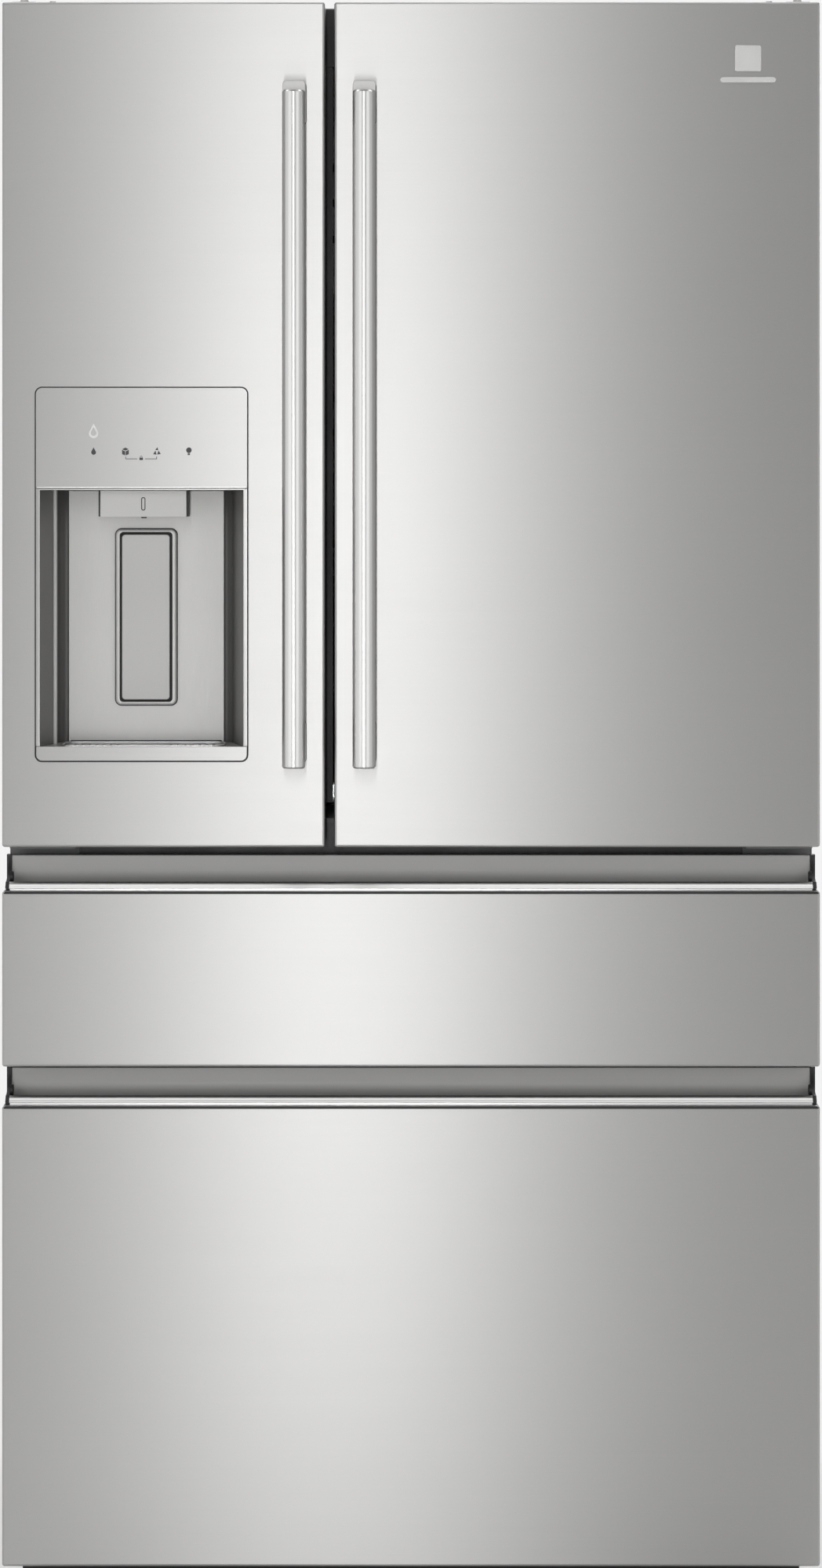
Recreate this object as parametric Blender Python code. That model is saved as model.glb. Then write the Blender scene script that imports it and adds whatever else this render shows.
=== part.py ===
"""French door refrigerator: two hinged upper doors, two pull-out drawers, an ice and water dispenser.

Metres, +Z up. The doors face -Y and +X is the viewer's right.
The origin is on the floor, under the middle of the outer box.
A depth, always the second number of a box, is measured back from the door faces.
"""

import math

import bmesh
import bpy
from mathutils import Matrix, Vector

# Outer sizes
WIDTH = 0.913
HANDLE_REACH = 0.060
CABINET_BACK = 0.730
FACE_Y = (HANDLE_REACH - CABINET_BACK) / 2
HALF = WIDTH / 2

# Doors and drawer fronts
DOOR_Z = (0.835, 1.7785)
LEFT_DOOR_X = (-HALF, -0.0959)
RIGHT_DOOR_X = (-0.0857, HALF)
DOOR_DEPTH = 0.060
SKIN = 0.0012
FIT = 0.0003
EDGE_ROUND = 0.003
DOOR_FOLD = 0.015
DRAWER_FOLD = 0.008
GASKET_DEPTH = (0.0603, 0.0712)
GASKET_WIDTH = 0.020
GASKET_INSET = 0.018
GASKET_FREE_INSET = 0.010

# Hinges of the doors
HINGE_X = 0.4345
HINGE_DEPTH = 0.040
PIN_RADIUS = 0.005
PIN_HOLE_RADIUS = 0.0056
PLATE = 0.003

# Handles
BAR_RADIUS = 0.01265
BAR_DEPTH_RADIUS = 0.011
BAR_X = (-0.1297, -0.0519)
BAR_Z = (0.926, 1.6755)
MOUNT_RISE = 0.012
MOUNT_HEIGHT = 0.046

# Grips: depths and heights from the underside of the polished lip
GRIP_TOP = 0.0346
GRIP_BOTTOM = -0.0129
GRIP_BACK = 0.046
GRIP_END_INSET = 0.0035
GRIP_END_WALL = 0.004
GRIP_CURVE = 0.026

# Cabinet
CABINET_HALF = 0.4535
CABINET_FRONT = 0.072
CABINET_Z = (0.040, 1.7785)
WRAPPER = 0.0015
LINER_HALF = 0.408
LINER_TOP = 1.730
FRIDGE_BACK = 0.672
LOWER_BACK = 0.530
STEP_Z = 0.345
PARTITION_UPPER_Z = (0.797, 0.862)
PARTITION_LOWER_Z = (0.557, 0.616)
MACHINE_FRONT = 0.575
MACHINE_TOP = 0.290
MACHINE_HALF = 0.425
PAN_Z = (0.040, 0.0462)

# Drawers: front face heights, lip height, bin box, rail height, rear end of the rails
DRAWERS = {
    "upper_drawer": ((0.5898, 0.7854), 0.7884, (0.632, 0.775), 0.645, (0.650, 0.672), 0.661),
    "lower_drawer": ((0.0320, 0.5456), 0.5494, (0.110, 0.500), 0.505, (0.300, 0.322), 0.517),
}
DRAWER_GASKET_Z = {"upper_drawer": (0.594, 0.818), "lower_drawer": (0.060, 0.579)}
BIN_HALF = 0.385
BIN_WALL = 0.003
RAIL_X = (0.3885, 0.3975)

# Dispenser
FRAME_X = (-0.4186, -0.1826)
FRAME_Z = (0.931, 1.3477)
RECESS_X = -0.3007
RECESS_Z = (0.9393, 1.2334)
RECESS_HALF = (0.1135, 0.0996, 0.0856)
RECESS_DEPTH = (0.078, 0.095)
TUB_WALL = 0.002
PANEL_Z = (1.2356, 1.3477)
PANEL_DEPTH = 0.0080
PADDLE_X = -0.3006
PADDLE_HALF = 0.027
PADDLE_Z = (0.996, 1.183)
PADDLE_PIVOT = (PADDLE_X, 0.082, 1.180)

# Mullion flap
FLAP_X = (-0.122, -0.0885)
FLAP_DEPTH = (0.073, 0.091)
FLAP_Z = (0.880, 1.712)
FLAP_PIVOT = (-0.121, 0.082, 0.880)

# Running gear
ROLLER_X = 0.360
ROLLER_DEPTH = 0.640
ROLLER_RADIUS = 0.017
FOOT_DEPTH = 0.120
FAN_CENTRE = (0.120, 0.640, 0.165)

PIVOTS = {
    "cabinet": (0.0, CABINET_FRONT, 0.0),
    "left_door": (-HINGE_X, HINGE_DEPTH, DOOR_Z[0]),
    "right_door": (HINGE_X, HINGE_DEPTH, DOOR_Z[0]),
    "dispenser_paddle": PADDLE_PIVOT,
    "mullion_flap": FLAP_PIVOT,
    "upper_drawer": (0.0, DOOR_DEPTH, 0.661),
    "lower_drawer": (0.0, DOOR_DEPTH, 0.311),
    "upper_rails": (0.0, DOOR_DEPTH, 0.661),
    "lower_rails": (0.0, DOOR_DEPTH, 0.311),
    "crisper_left": (-0.202, 0.240, 0.8645),
    "crisper_right": (0.202, 0.240, 0.8645),
    "roller_left": (-ROLLER_X, ROLLER_DEPTH, ROLLER_RADIUS),
    "roller_right": (ROLLER_X, ROLLER_DEPTH, ROLLER_RADIUS),
    "condenser_fan": FAN_CENTRE,
}
CARRIERS = {"dispenser_paddle": "left_door", "mullion_flap": "left_door"}


def clear_scene():
    for obj in list(bpy.data.objects):
        bpy.data.objects.remove(obj, do_unlink=True)


def add_collection(name):
    collection = bpy.data.collections.new(name)
    bpy.context.scene.collection.children.link(collection)
    return collection


def add_material(name, color, roughness, metallic=0.0, transmission=0.0):
    material = bpy.data.materials.new(name)
    material.use_nodes = True
    shader = material.node_tree.nodes["Principled BSDF"]
    shader.inputs["Base Color"].default_value = (*color, 1.0)
    shader.inputs["Roughness"].default_value = roughness
    shader.inputs["Metallic"].default_value = metallic
    shader.inputs["Transmission Weight"].default_value = transmission
    material.diffuse_color = (*color, 1.0)
    return material


clear_scene()
PARTS = add_collection("french_door_refrigerator")
CUTTERS = add_collection("cutters")

STAINLESS = add_material("stainless", (0.62, 0.62, 0.61), 0.30, 1.0)
POLISHED = add_material("polished_steel", (0.78, 0.78, 0.78), 0.12, 1.0)
GREY_TRIM = add_material("grey_trim", (0.50, 0.50, 0.50), 0.45)
PAINT = add_material("grey_paint", (0.22, 0.22, 0.23), 0.50)
LINER = add_material("white_liner", (0.86, 0.87, 0.88), 0.40)
SEAL = add_material("seal_rubber", (0.10, 0.10, 0.11), 0.70)
DARK = add_material("dark_plastic", (0.05, 0.05, 0.055), 0.50)
GALVANISED = add_material("galvanised", (0.55, 0.56, 0.58), 0.45, 1.0)
CLEAR = add_material("clear_plastic", (0.85, 0.90, 0.93), 0.10, 0.0, 0.8)
GLASS = add_material("glass", (0.80, 0.90, 0.88), 0.05, 0.0, 0.8)
PANEL_GREY = add_material("panel_grey", (0.62, 0.62, 0.62), 0.35, 0.4)
RECESS = add_material("recess_plastic", (0.56, 0.56, 0.55), 0.40)


def place(point):
    """A point given as x, depth from the door faces, z."""
    return Vector((point[0], FACE_Y + point[1], point[2]))


def add_pivots():
    """One empty on each moving body's axis, so that turning or sliding it moves the whole body."""
    pivots = {}
    for name, point in PIVOTS.items():
        pivot = bpy.data.objects.new("pivot_" + name, None)
        pivot.empty_display_size = 0.03
        pivot.location = place(point)
        PARTS.objects.link(pivot)
        pivots[name] = pivot
    for name, carrier in CARRIERS.items():
        pivots[name].parent = pivots[carrier]
        pivots[name].location = place(PIVOTS[name]) - place(PIVOTS[carrier])
    return pivots


PIVOT_EMPTIES = add_pivots()


def smooth(mesh):
    mesh.shade_smooth()
    mesh.set_sharp_from_angle(angle=math.radians(35))


def add_part(name, mesh, material, body):
    """Puts a mesh made in world coordinates on its body's pivot."""
    mesh.transform(Matrix.Translation(-place(PIVOTS[body])))
    mesh.materials.append(material)
    mesh.name = name
    smooth(mesh)
    obj = bpy.data.objects.new(name, mesh)
    obj.parent = PIVOT_EMPTIES[body]
    PARTS.objects.link(obj)
    return obj


def add_tool(mesh):
    """A hidden helper that a Boolean modifier takes."""
    obj = bpy.data.objects.new("tool", mesh)
    obj.hide_render = True
    obj.display_type = "WIRE"
    CUTTERS.objects.link(obj)
    return obj


def combine(obj, meshes, operation):
    for mesh in meshes:
        modifier = obj.modifiers.new(operation.lower(), "BOOLEAN")
        modifier.operation = operation
        modifier.object = add_tool(mesh)
    return obj


def cut(obj, *meshes):
    return combine(obj, meshes, "DIFFERENCE")


def join(obj, *meshes):
    return combine(obj, meshes, "UNION")


def mesh_from(bm):
    mesh = bpy.data.meshes.new("shape")
    bmesh.ops.recalc_face_normals(bm, faces=bm.faces)
    bm.to_mesh(mesh)
    bm.free()
    return mesh


def box_matrix(x, depth, z):
    centre = place(((x[0] + x[1]) / 2, (depth[0] + depth[1]) / 2, (z[0] + z[1]) / 2))
    size = Vector((x[1] - x[0], depth[1] - depth[0], z[1] - z[0], 1.0))
    return Matrix.Translation(centre) @ Matrix.Diagonal(size)


def box(x, depth, z, rounding=0.0, segments=2, where=None):
    """A box. The edges that where() picks, or all of them, are rounded."""
    bm = bmesh.new()
    bmesh.ops.create_cube(bm, size=1.0, matrix=box_matrix(x, depth, z))
    if rounding:
        edges = [edge for edge in bm.edges if where is None or where(edge)]
        bmesh.ops.bevel(
            bm, geom=edges, offset=rounding, segments=segments, profile=0.5, affect="EDGES"
        )
    return mesh_from(bm)


def along(axis):
    """Picks the edges parallel to an axis, 0 to 2 for X to Z."""

    def picks(edge):
        step = edge.verts[1].co - edge.verts[0].co
        return abs(step[axis]) > 0.9 * step.length

    return picks


def front_box(x, depth, z, rounding):
    """A box whose front edges and the corners that run back from them are rounded."""
    front = FACE_Y + depth[0]

    def touches_front(edge):
        return any(abs(vert.co.y - front) < 1e-6 for vert in edge.verts)

    return box(x, depth, z, rounding, 2, touches_front)


def tube_matrix(axis, centre):
    turn = {0: Matrix.Rotation(math.pi / 2, 4, "Y"), 1: Matrix.Rotation(math.pi / 2, 4, "X")}
    return Matrix.Translation(place(centre)) @ turn.get(axis, Matrix.Identity(4))


def cylinder(axis, centre, radius, length, segments=16, top_radius=None):
    bm = bmesh.new()
    bmesh.ops.create_cone(
        bm,
        cap_ends=True,
        segments=segments,
        radius1=radius,
        radius2=radius if top_radius is None else top_radius,
        depth=length,
        matrix=tube_matrix(axis, centre),
    )
    return mesh_from(bm)


FLAT_PLANES = {
    0: ((0, 0, 1), (1, 0, 0), (0, 1, 0)),
    1: ((1, 0, 0), (0, 0, -1), (0, 1, 0)),
    2: ((1, 0, 0), (0, 1, 0), (0, 0, 1)),
}


def flat(axis, outlines, span):
    """Closed outlines in the plane across an axis, filled and given the span along it.

    Points are (depth, z) across X, (x, z) across Y and (x, depth) across Z.
    An outline inside another is a hole.
    """
    curve = bpy.data.curves.new("outline", "CURVE")
    curve.dimensions = "2D"
    curve.fill_mode = "BOTH"
    curve.extrude = (span[1] - span[0]) / 2
    for outline in outlines:
        spline = curve.splines.new("POLY")
        spline.points.add(len(outline) - 1)
        for point, corner in zip(spline.points, outline):
            point.co = (*corner, 0.0, 1.0)
        spline.use_cyclic_u = True
    guide = bpy.data.objects.new("outline", curve)
    CUTTERS.objects.link(guide)
    graph = bpy.context.evaluated_depsgraph_get()
    mesh = bpy.data.meshes.new_from_object(guide.evaluated_get(graph))
    bpy.data.objects.remove(guide, do_unlink=True)
    turned = Matrix(FLAT_PLANES[axis]).to_4x4()
    middle = [0.0, FACE_Y, 0.0]
    middle[axis] += (span[0] + span[1]) / 2
    mesh.transform(Matrix.Translation(middle) @ turned)
    bm = bmesh.new()
    bm.from_mesh(mesh)
    bmesh.ops.remove_doubles(bm, verts=bm.verts, dist=1e-6)
    return mesh_from(bm)


def rectangle(a, b):
    return [(a[0], b[0]), (a[1], b[0]), (a[1], b[1]), (a[0], b[1])]


def grown(pair, amount):
    return (pair[0] - amount, pair[1] + amount)


def mirrored(pair, side):
    """The x pair on the given side, -1 for left and 1 for right."""
    return tuple(sorted((pair[0] * side, pair[1] * side)))


def arc(centre, radius, start, end, steps):
    turns = [math.radians(start + (end - start) * i / steps) for i in range(steps + 1)]
    return [(centre[0] + radius * math.cos(a), centre[1] + radius * math.sin(a)) for a in turns]


# Door and drawer fronts


def add_skin(name, x, z, fold, body):
    """A pressed steel pan: front, two full-depth sides, and folds along the top and the foot."""
    skin = add_part(name, front_box(x, (0.0, 0.058), z, EDGE_ROUND), STAINLESS, body)
    inner_round = EDGE_ROUND - SKIN
    inside = front_box(grown(x, -SKIN), (SKIN, 0.070), grown(z, -SKIN), inner_round)
    behind_folds = box(grown(x, -SKIN), (fold, 0.070), grown(z, 0.010))
    return cut(skin, inside, behind_folds)


def add_front_body(name, x, z, fold, body):
    """The foamed body inside a skin, with end caps that reach the skin's full height."""
    inset = SKIN + FIT
    depth = (inset, DOOR_DEPTH)
    obj = add_part(
        name,
        front_box(grown(x, -inset), depth, grown(z, -inset), EDGE_ROUND - inset),
        LINER,
        body,
    )
    return join(obj, box(grown(x, -inset), (fold + FIT, DOOR_DEPTH), z))


def add_gasket(name, x, z, body):
    inner = rectangle(grown(x, -GASKET_WIDTH), grown(z, -GASKET_WIDTH))
    return add_part(name, flat(1, [rectangle(x, z), inner], GASKET_DEPTH), SEAL, body)


def add_bin(name, x, depth, z, body, wall=BIN_WALL):
    """An open-topped box with a small rim round it."""
    obj = add_part(name, box(x, depth, z, 0.004, 2, along(2)), CLEAR, body)
    inside = box(grown(x, -wall), grown(depth, -wall), (z[0] + wall, z[1] + 0.02))
    return cut(obj, inside)


def add_handle(side_name, bar_x, body):
    height = BAR_Z[1] - BAR_Z[0]
    depth = BAR_DEPTH_RADIUS - HANDLE_REACH
    centre = (bar_x, depth, (BAR_Z[0] + BAR_Z[1]) / 2)
    bm = bmesh.new()
    bmesh.ops.create_cone(
        bm, cap_ends=True, segments=24, radius1=BAR_RADIUS, radius2=BAR_RADIUS, depth=height
    )
    ends = [e for e in bm.edges if abs(e.verts[0].co.z - e.verts[1].co.z) < 1e-6]
    bmesh.ops.bevel(bm, geom=ends, offset=0.002, segments=1, affect="EDGES")
    oval = Matrix.Diagonal((1.0, BAR_DEPTH_RADIUS / BAR_RADIUS, 1.0, 1.0))
    bmesh.ops.transform(bm, matrix=Matrix.Translation(place(centre)) @ oval, verts=bm.verts)
    add_part(side_name + "_handle", mesh_from(bm), POLISHED, body)
    bar_rear = 2 * BAR_DEPTH_RADIUS - HANDLE_REACH
    for level, top in (("top", BAR_Z[1] + MOUNT_RISE), ("bottom", BAR_Z[0] + MOUNT_HEIGHT + 0.004)):
        x = (bar_x - BAR_RADIUS, bar_x + BAR_RADIUS)
        z = (top - MOUNT_HEIGHT, top)
        mount = box(x, (bar_rear + FIT, -FIT), z, 0.003, 2, along(1))
        add_part(f"{side_name}_handle_mount_{level}", mount, GREY_TRIM, body)


def hinge_holes(x):
    """Cutters for the pin holes in the top and the foot of a door."""
    depth = 0.028
    low = (x, HINGE_DEPTH, DOOR_Z[0] + depth / 2 - 0.001)
    high = (x, HINGE_DEPTH, DOOR_Z[1] - depth / 2 + 0.001)
    return [cylinder(2, point, PIN_HOLE_RADIUS, depth, 24) for point in (low, high)]


# Left door


def recess_outline(front, amount=0.0):
    """The recess in plan, from a given depth back, with every wall moved out by an amount.

    The side walls close in towards the back and turn into it with a round corner.
    """
    mouth, bend, back = (half + amount for half in RECESS_HALF)
    corner, end = (depth + amount for depth in RECESS_DEPTH)
    start = mouth + (bend - mouth) * front / corner
    turns = [math.radians(18 * step) for step in range(6)]
    curve = [
        (bend + (back - bend) * (1 - math.cos(turn)), corner + (end - corner) * math.sin(turn))
        for turn in turns
    ]
    right = [(start, front), *curve]
    left = [(-half, depth) for half, depth in reversed(right)]
    return [(RECESS_X + half, depth) for half, depth in right + left]


def add_left_door():
    body = "left_door"
    hole = box(grown(FRAME_X, 0.0008), (-0.010, 0.020), grown(FRAME_Z, 0.0008), 0.007, 3, along(1))
    cut(add_skin("left_door_skin", LEFT_DOOR_X, DOOR_Z, DOOR_FOLD, body), hole)
    add_left_door_liner(body)
    gasket_x = (LEFT_DOOR_X[0] + GASKET_INSET, LEFT_DOOR_X[1] - GASKET_FREE_INSET)
    add_gasket("left_door_gasket", gasket_x, (0.840, 1.7605), body)
    add_handle("left", BAR_X[0], body)
    add_bin("left_door_bin", (-0.3965, -0.1345), (DOOR_DEPTH + FIT, 0.182), (1.420, 1.550), body)
    add_dispenser(body)


def flap_lug(z):
    """Carries one pin of the mullion flap, clear of the gasket."""
    foot = box((-0.1345, -0.1265), (0.058, 0.088), z)
    arm = box((-0.1345, -0.1165), (0.0745, 0.088), z)
    return foot, arm


def add_left_door_liner(body):
    liner = add_front_body("left_door_liner", LEFT_DOOR_X, DOOR_Z, DOOR_FOLD, body)
    bulge = box((-0.4055, -0.1960), (0.055, 0.104), (0.925, 1.365), 0.006, 2, along(1))
    join(liner, bulge)
    for level in (0.868, 1.7175):
        join(liner, *flap_lug((level, level + 0.0065)))
    frame = box(grown(FRAME_X, FIT), (-0.010, 0.0125), grown(FRAME_Z, FIT), 0.007, 3, along(1))
    space = TUB_WALL + FIT
    tub = flat(2, [recess_outline(-0.010, space)], grown(RECESS_Z, space))
    holes = hinge_holes(-HINGE_X)
    flap_holes = cylinder(2, (FLAP_PIVOT[0], FLAP_PIVOT[1], 1.3), 0.0032, 1.0, 16)
    cut(liner, frame, tub, *holes, flap_holes)


def add_dispenser(body):
    housing = add_part(
        "dispenser_housing",
        box(FRAME_X, (0.0, 0.012), FRAME_Z, 0.007, 3, along(1)),
        RECESS,
        body,
    )
    tub = flat(2, [recess_outline(0.0, TUB_WALL)], grown(RECESS_Z, TUB_WALL))
    join(housing, tub)
    void = flat(2, [recess_outline(-0.010)], RECESS_Z)
    bed_z = (PANEL_Z[0] - FIT, PANEL_Z[1] + 0.010)
    panel_bed = box(grown(FRAME_X, 0.010), (-0.010, PANEL_DEPTH + FIT), bed_z)
    tray_bed = box(FRAME_X, (-0.010, 0.0043), (0.920, 0.9476))
    cut(housing, void, panel_bed, tray_bed)
    add_paddle_frame(housing)
    add_panel(body)
    chute = box((-0.3482, -0.2514), (0.0200, 0.0600), (1.2034, RECESS_Z[1] - FIT), 0.004, 2, along(1))
    slot = box((-0.3020, -0.2976), (0.0150, 0.0230), (1.2124, 1.2259), 0.0014, 2, along(1))
    add_part("dispenser_chute", chute, GREY_TRIM, body)
    cut(bpy.data.objects["dispenser_chute"], slot)
    add_drip_tray(body)
    paddle_x = (PADDLE_X - PADDLE_HALF, PADDLE_X + PADDLE_HALF)
    paddle = box(paddle_x, (0.080, 0.084), PADDLE_Z, 0.004, 2, along(1))
    add_part("dispenser_paddle", paddle, GREY_TRIM, "dispenser_paddle")


def add_panel(body):
    """The control panel, with the frame's rounded corners along its top."""

    def upper_corner(edge):
        return along(1)(edge) and edge.verts[0].co.z > sum(PANEL_Z) / 2

    panel = box(FRAME_X, (0.0, PANEL_DEPTH), PANEL_Z, 0.007, 3, upper_corner)
    add_part("dispenser_panel", panel, PANEL_GREY, body)


def add_paddle_frame(housing):
    """The raised frame on the back wall round the paddle, with room for the paddle to be pushed in."""
    outer = box((-0.3350, -0.2663), (0.0845, 0.0955), (0.9898, 1.1888), 0.005, 2, along(1))
    inner = box((-0.3306, -0.2706), (0.0700, 0.0948), (0.9935, 1.1850), 0.004, 2, along(1))
    join(housing, outer)
    cut(housing, inner)


def add_drip_tray(body):
    """The front lip under the recess, and the tray behind it with a shallow well."""
    lip_z = (0.9313, 0.9473)

    def lower_corner(edge):
        return along(1)(edge) and edge.verts[0].co.z < sum(lip_z) / 2

    lip = box(grown(FRAME_X, -FIT), (0.0, 0.0040), lip_z, 0.007, 3, lower_corner)
    tray = add_part("drip_tray", lip, GREY_TRIM, body)
    plate = flat(2, [recess_outline(0.0035, -2 * FIT)], (RECESS_Z[0] + FIT, lip_z[1]))
    join(tray, plate)
    well = box((-0.3900, -0.2114), (0.014, 0.082), (0.9440, 0.960), 0.008, 2, along(2))
    return cut(tray, well)


def add_mullion_flap():
    """The heated bar that covers the gap behind the two doors."""
    low, high = FLAP_DEPTH
    outline = [(FLAP_X[0], low), (FLAP_X[1], low), (FLAP_X[1] - 0.0023, high), (FLAP_X[0], high)]
    flap = add_part("mullion_flap", flat(2, [outline], FLAP_Z), DARK, "mullion_flap")
    ends = ((FLAP_Z[0] - 0.004, 0.010), (FLAP_Z[1] + 0.004, 0.010))
    pins = [cylinder(2, (*FLAP_PIVOT[:2], z), 0.0025, length, 12) for z, length in ends]
    return join(flap, *pins)


# Right door


def add_right_door():
    body = "right_door"
    add_skin("right_door_skin", RIGHT_DOOR_X, DOOR_Z, DOOR_FOLD, body)
    liner = add_front_body("right_door_liner", RIGHT_DOOR_X, DOOR_Z, DOOR_FOLD, body)
    cut(liner, *hinge_holes(HINGE_X))
    gasket_x = (RIGHT_DOOR_X[0] + GASKET_FREE_INSET, RIGHT_DOOR_X[1] - GASKET_INSET)
    add_gasket("right_door_gasket", gasket_x, (0.840, 1.7605), body)
    add_handle("right", BAR_X[1], body)
    for name, z in (("right_door_bin_upper", (1.420, 1.550)), ("right_door_bin_lower", (1.070, 1.200))):
        add_bin(name, (-0.0355, 0.3965), (DOOR_DEPTH + FIT, 0.182), z, body)


# Drawers


def grip_outline(lip):
    """The grip's end shape: the sloping lip, a hollow rise and the square back."""
    rise = [
        (0.010 + 0.030 * math.sin(a), lip + GRIP_TOP - 0.0278 * math.cos(a))
        for a in (math.radians(15 * i) for i in range(7))
    ]
    start = [(0.0025, lip), (0.0030, lip + 0.0008), (0.0085, lip + 0.0063)]
    back = [(GRIP_BACK, lip + GRIP_TOP), (GRIP_BACK, lip + GRIP_BOTTOM)]
    return start + rise + back + [(0.0122, lip + GRIP_BOTTOM), (0.0122, lip)]


def trough_outline(lip):
    """The finger trough: down behind the lip, round, and up the sloping back wall."""
    centre = (0.0150, lip + 0.0196)
    hollow = arc(centre, GRIP_CURVE, -90, 0, 8)
    return [
        (0.0102, lip + 0.0500),
        (0.0102, lip + 0.0069),
        (0.0112, lip + 0.0060),
        (0.0135, lip - 0.0030),
        *hollow,
        (0.0447, lip + 0.0500),
    ]


def add_drawer(name):
    face_z, lip, bin_z, bin_rear, _, _ = DRAWERS[name]
    top = lip + GRIP_TOP
    x = (-HALF, HALF)
    add_skin(name + "_skin", x, face_z, DRAWER_FOLD, name)
    body = add_front_body(name + "_body", x, face_z, DRAWER_FOLD, name)
    inner_x = grown(x, -SKIN - FIT)
    join(body, box(inner_x, (GRIP_BACK + FIT, DOOR_DEPTH), (face_z[1] - 0.020, top)))
    grip_z = (lip + GRIP_BOTTOM - FIT, top + 0.010)
    cut(body, box(grown(x, 0.010), (0.0119, GRIP_BACK + FIT), grip_z))
    outer = grown(x, -GRIP_END_INSET)
    grip = add_part(name + "_grip", flat(0, [grip_outline(lip)], outer), GREY_TRIM, name)
    cut(grip, flat(0, [trough_outline(lip)], grown(outer, -GRIP_END_WALL)))
    add_gasket(name + "_gasket", (-0.4385, 0.4385), DRAWER_GASKET_Z[name], name)
    add_bin(name + "_bin", (-BIN_HALF, BIN_HALF), (DOOR_DEPTH + FIT, bin_rear), bin_z, name)


def add_rails(drawer, body):
    """The middle members of both telescopic slides, joined by the bar that keeps them level."""
    z, rear = DRAWERS[drawer][4:]
    inner = (-RAIL_X[0], RAIL_X[0])
    frame = box((-RAIL_X[1], RAIL_X[1]), (0.085, rear), z)
    rails = add_part(drawer + "_rails", frame, GALVANISED, body)
    cut(rails, box(inner, (0.070, rear - 0.006), grown(z, 0.010)))


# Cabinet


def add_wrapper():
    outer = (-CABINET_HALF, CABINET_HALF)
    wrapper = add_part(
        "cabinet_wrapper",
        box(outer, (CABINET_FRONT, CABINET_BACK), CABINET_Z),
        PAINT,
        "cabinet",
    )
    inside = box(
        grown(outer, -WRAPPER), (CABINET_FRONT + WRAPPER, 0.750), (0.020, CABINET_Z[1] - WRAPPER)
    )
    mouth = box((-0.418, 0.418), (0.060, 0.080), (0.020, 1.733))
    cut(wrapper, inside, mouth)


def add_liner():
    """The foamed body: a fridge space and a deep drawer space, stepped over the machine space."""
    half = CABINET_HALF - WRAPPER - FIT
    depth = (CABINET_FRONT + WRAPPER + FIT, 0.7262)
    z = (PAN_Z[1] + FIT, CABINET_Z[1] - WRAPPER - FIT)
    liner = add_part("cabinet_liner", box((-half, half), depth, z), LINER, "cabinet")
    inner = (-LINER_HALF, LINER_HALF)
    upper = box(inner, (0.060, FRIDGE_BACK), (STEP_Z, LINER_TOP), 0.006, 1, along(1))
    lower = box(inner, (0.060, LOWER_BACK), (0.100, STEP_Z + 0.015))
    machine = box((-MACHINE_HALF, MACHINE_HALF), (MACHINE_FRONT, 0.750), (0.020, MACHINE_TOP))
    cut(liner, upper, lower, machine)
    for drawer in DRAWERS:
        z, rear = DRAWERS[drawer][4:]
        for side in (-1, 1):
            join(liner, box(mirrored((RAIL_X[1] + 0.001, 0.410), side), (0.085, rear - 0.010), z))


def add_partitions():
    x = (-LINER_HALF + FIT, LINER_HALF - FIT)
    depth = (CABINET_FRONT + WRAPPER + FIT, FRIDGE_BACK - FIT)
    for name, z in (("partition_upper", PARTITION_UPPER_Z), ("partition_lower", PARTITION_LOWER_Z)):
        add_part(name, box(x, depth, z), LINER, "cabinet")


def add_back():
    x = (-CABINET_HALF + WRAPPER + FIT, CABINET_HALF - WRAPPER - FIT)
    depth = (0.7265, 0.7280)
    top = CABINET_Z[1] - WRAPPER - FIT
    add_part("rear_panel", box(x, depth, (0.295, top)), PAINT, "cabinet")
    cover = add_part("machine_cover", box(x, depth, (0.0465, 0.2935)), GALVANISED, "cabinet")
    for row in range(6):
        z = 0.090 + 0.025 * row
        cut(cover, box((-0.330, -0.130), (0.720, 0.735), (z, z + 0.008)))
        cut(cover, box((0.020, 0.220), (0.720, 0.735), (z, z + 0.008)))
    inlet_x, inlet_z = (0.340, 0.388), (0.215, 0.247)
    cut(cover, box(inlet_x, (0.720, 0.735), inlet_z))
    inlet = box(grown(inlet_x, -FIT), (0.6950, 0.7298), grown(inlet_z, -FIT), 0.002, 1, along(1))
    add_part("power_inlet", inlet, DARK, "cabinet")
    socket = box(grown(inlet_x, -0.010), (0.712, 0.740), grown(inlet_z, -0.007))
    cut(bpy.data.objects["power_inlet"], socket)


def add_top_hinge(side_name, side):
    """A flat plate with the upper door pin, and the cap over its rear end."""
    z = (DOOR_Z[1] + FIT, DOOR_Z[1] + FIT + PLATE)
    outline = [
        (0.4215, 0.0300),
        (0.4475, 0.0300),
        (0.4495, 0.0360),
        (0.4495, 0.1650),
        (0.3720, 0.1650),
        (0.3720, 0.1000),
        (0.4100, 0.0720),
        (0.4180, 0.0500),
    ]
    outline = [(x * side, depth) for x, depth in outline]
    plate = add_part(f"hinge_top_{side_name}", flat(2, [outline], z), GALVANISED, "cabinet")
    pin = cylinder(2, (HINGE_X * side, HINGE_DEPTH, z[0] - 0.010), PIN_RADIUS, 0.023)
    join(plate, pin)
    outer = [
        (0.0760, 1.7788),
        (0.0760, 1.7845),
        (0.0800, 1.7862),
        (0.1500, 1.7940),
        (0.1760, 1.7970),
        (0.1850, 1.7940),
        (0.1850, 1.7788),
    ]
    inner = [
        (0.0700, 1.7770),
        (0.0700, 1.7832),
        (0.0800, 1.7843),
        (0.1500, 1.7920),
        (0.1740, 1.7948),
        (0.1830, 1.7920),
        (0.1830, 1.7770),
    ]
    span = mirrored((0.3650, 0.4525), side)
    cover = add_part(f"hinge_cover_{side_name}", flat(0, [outer], span), DARK, "cabinet")
    cut(cover, flat(0, [inner], grown(span, -0.0020)))


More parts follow.
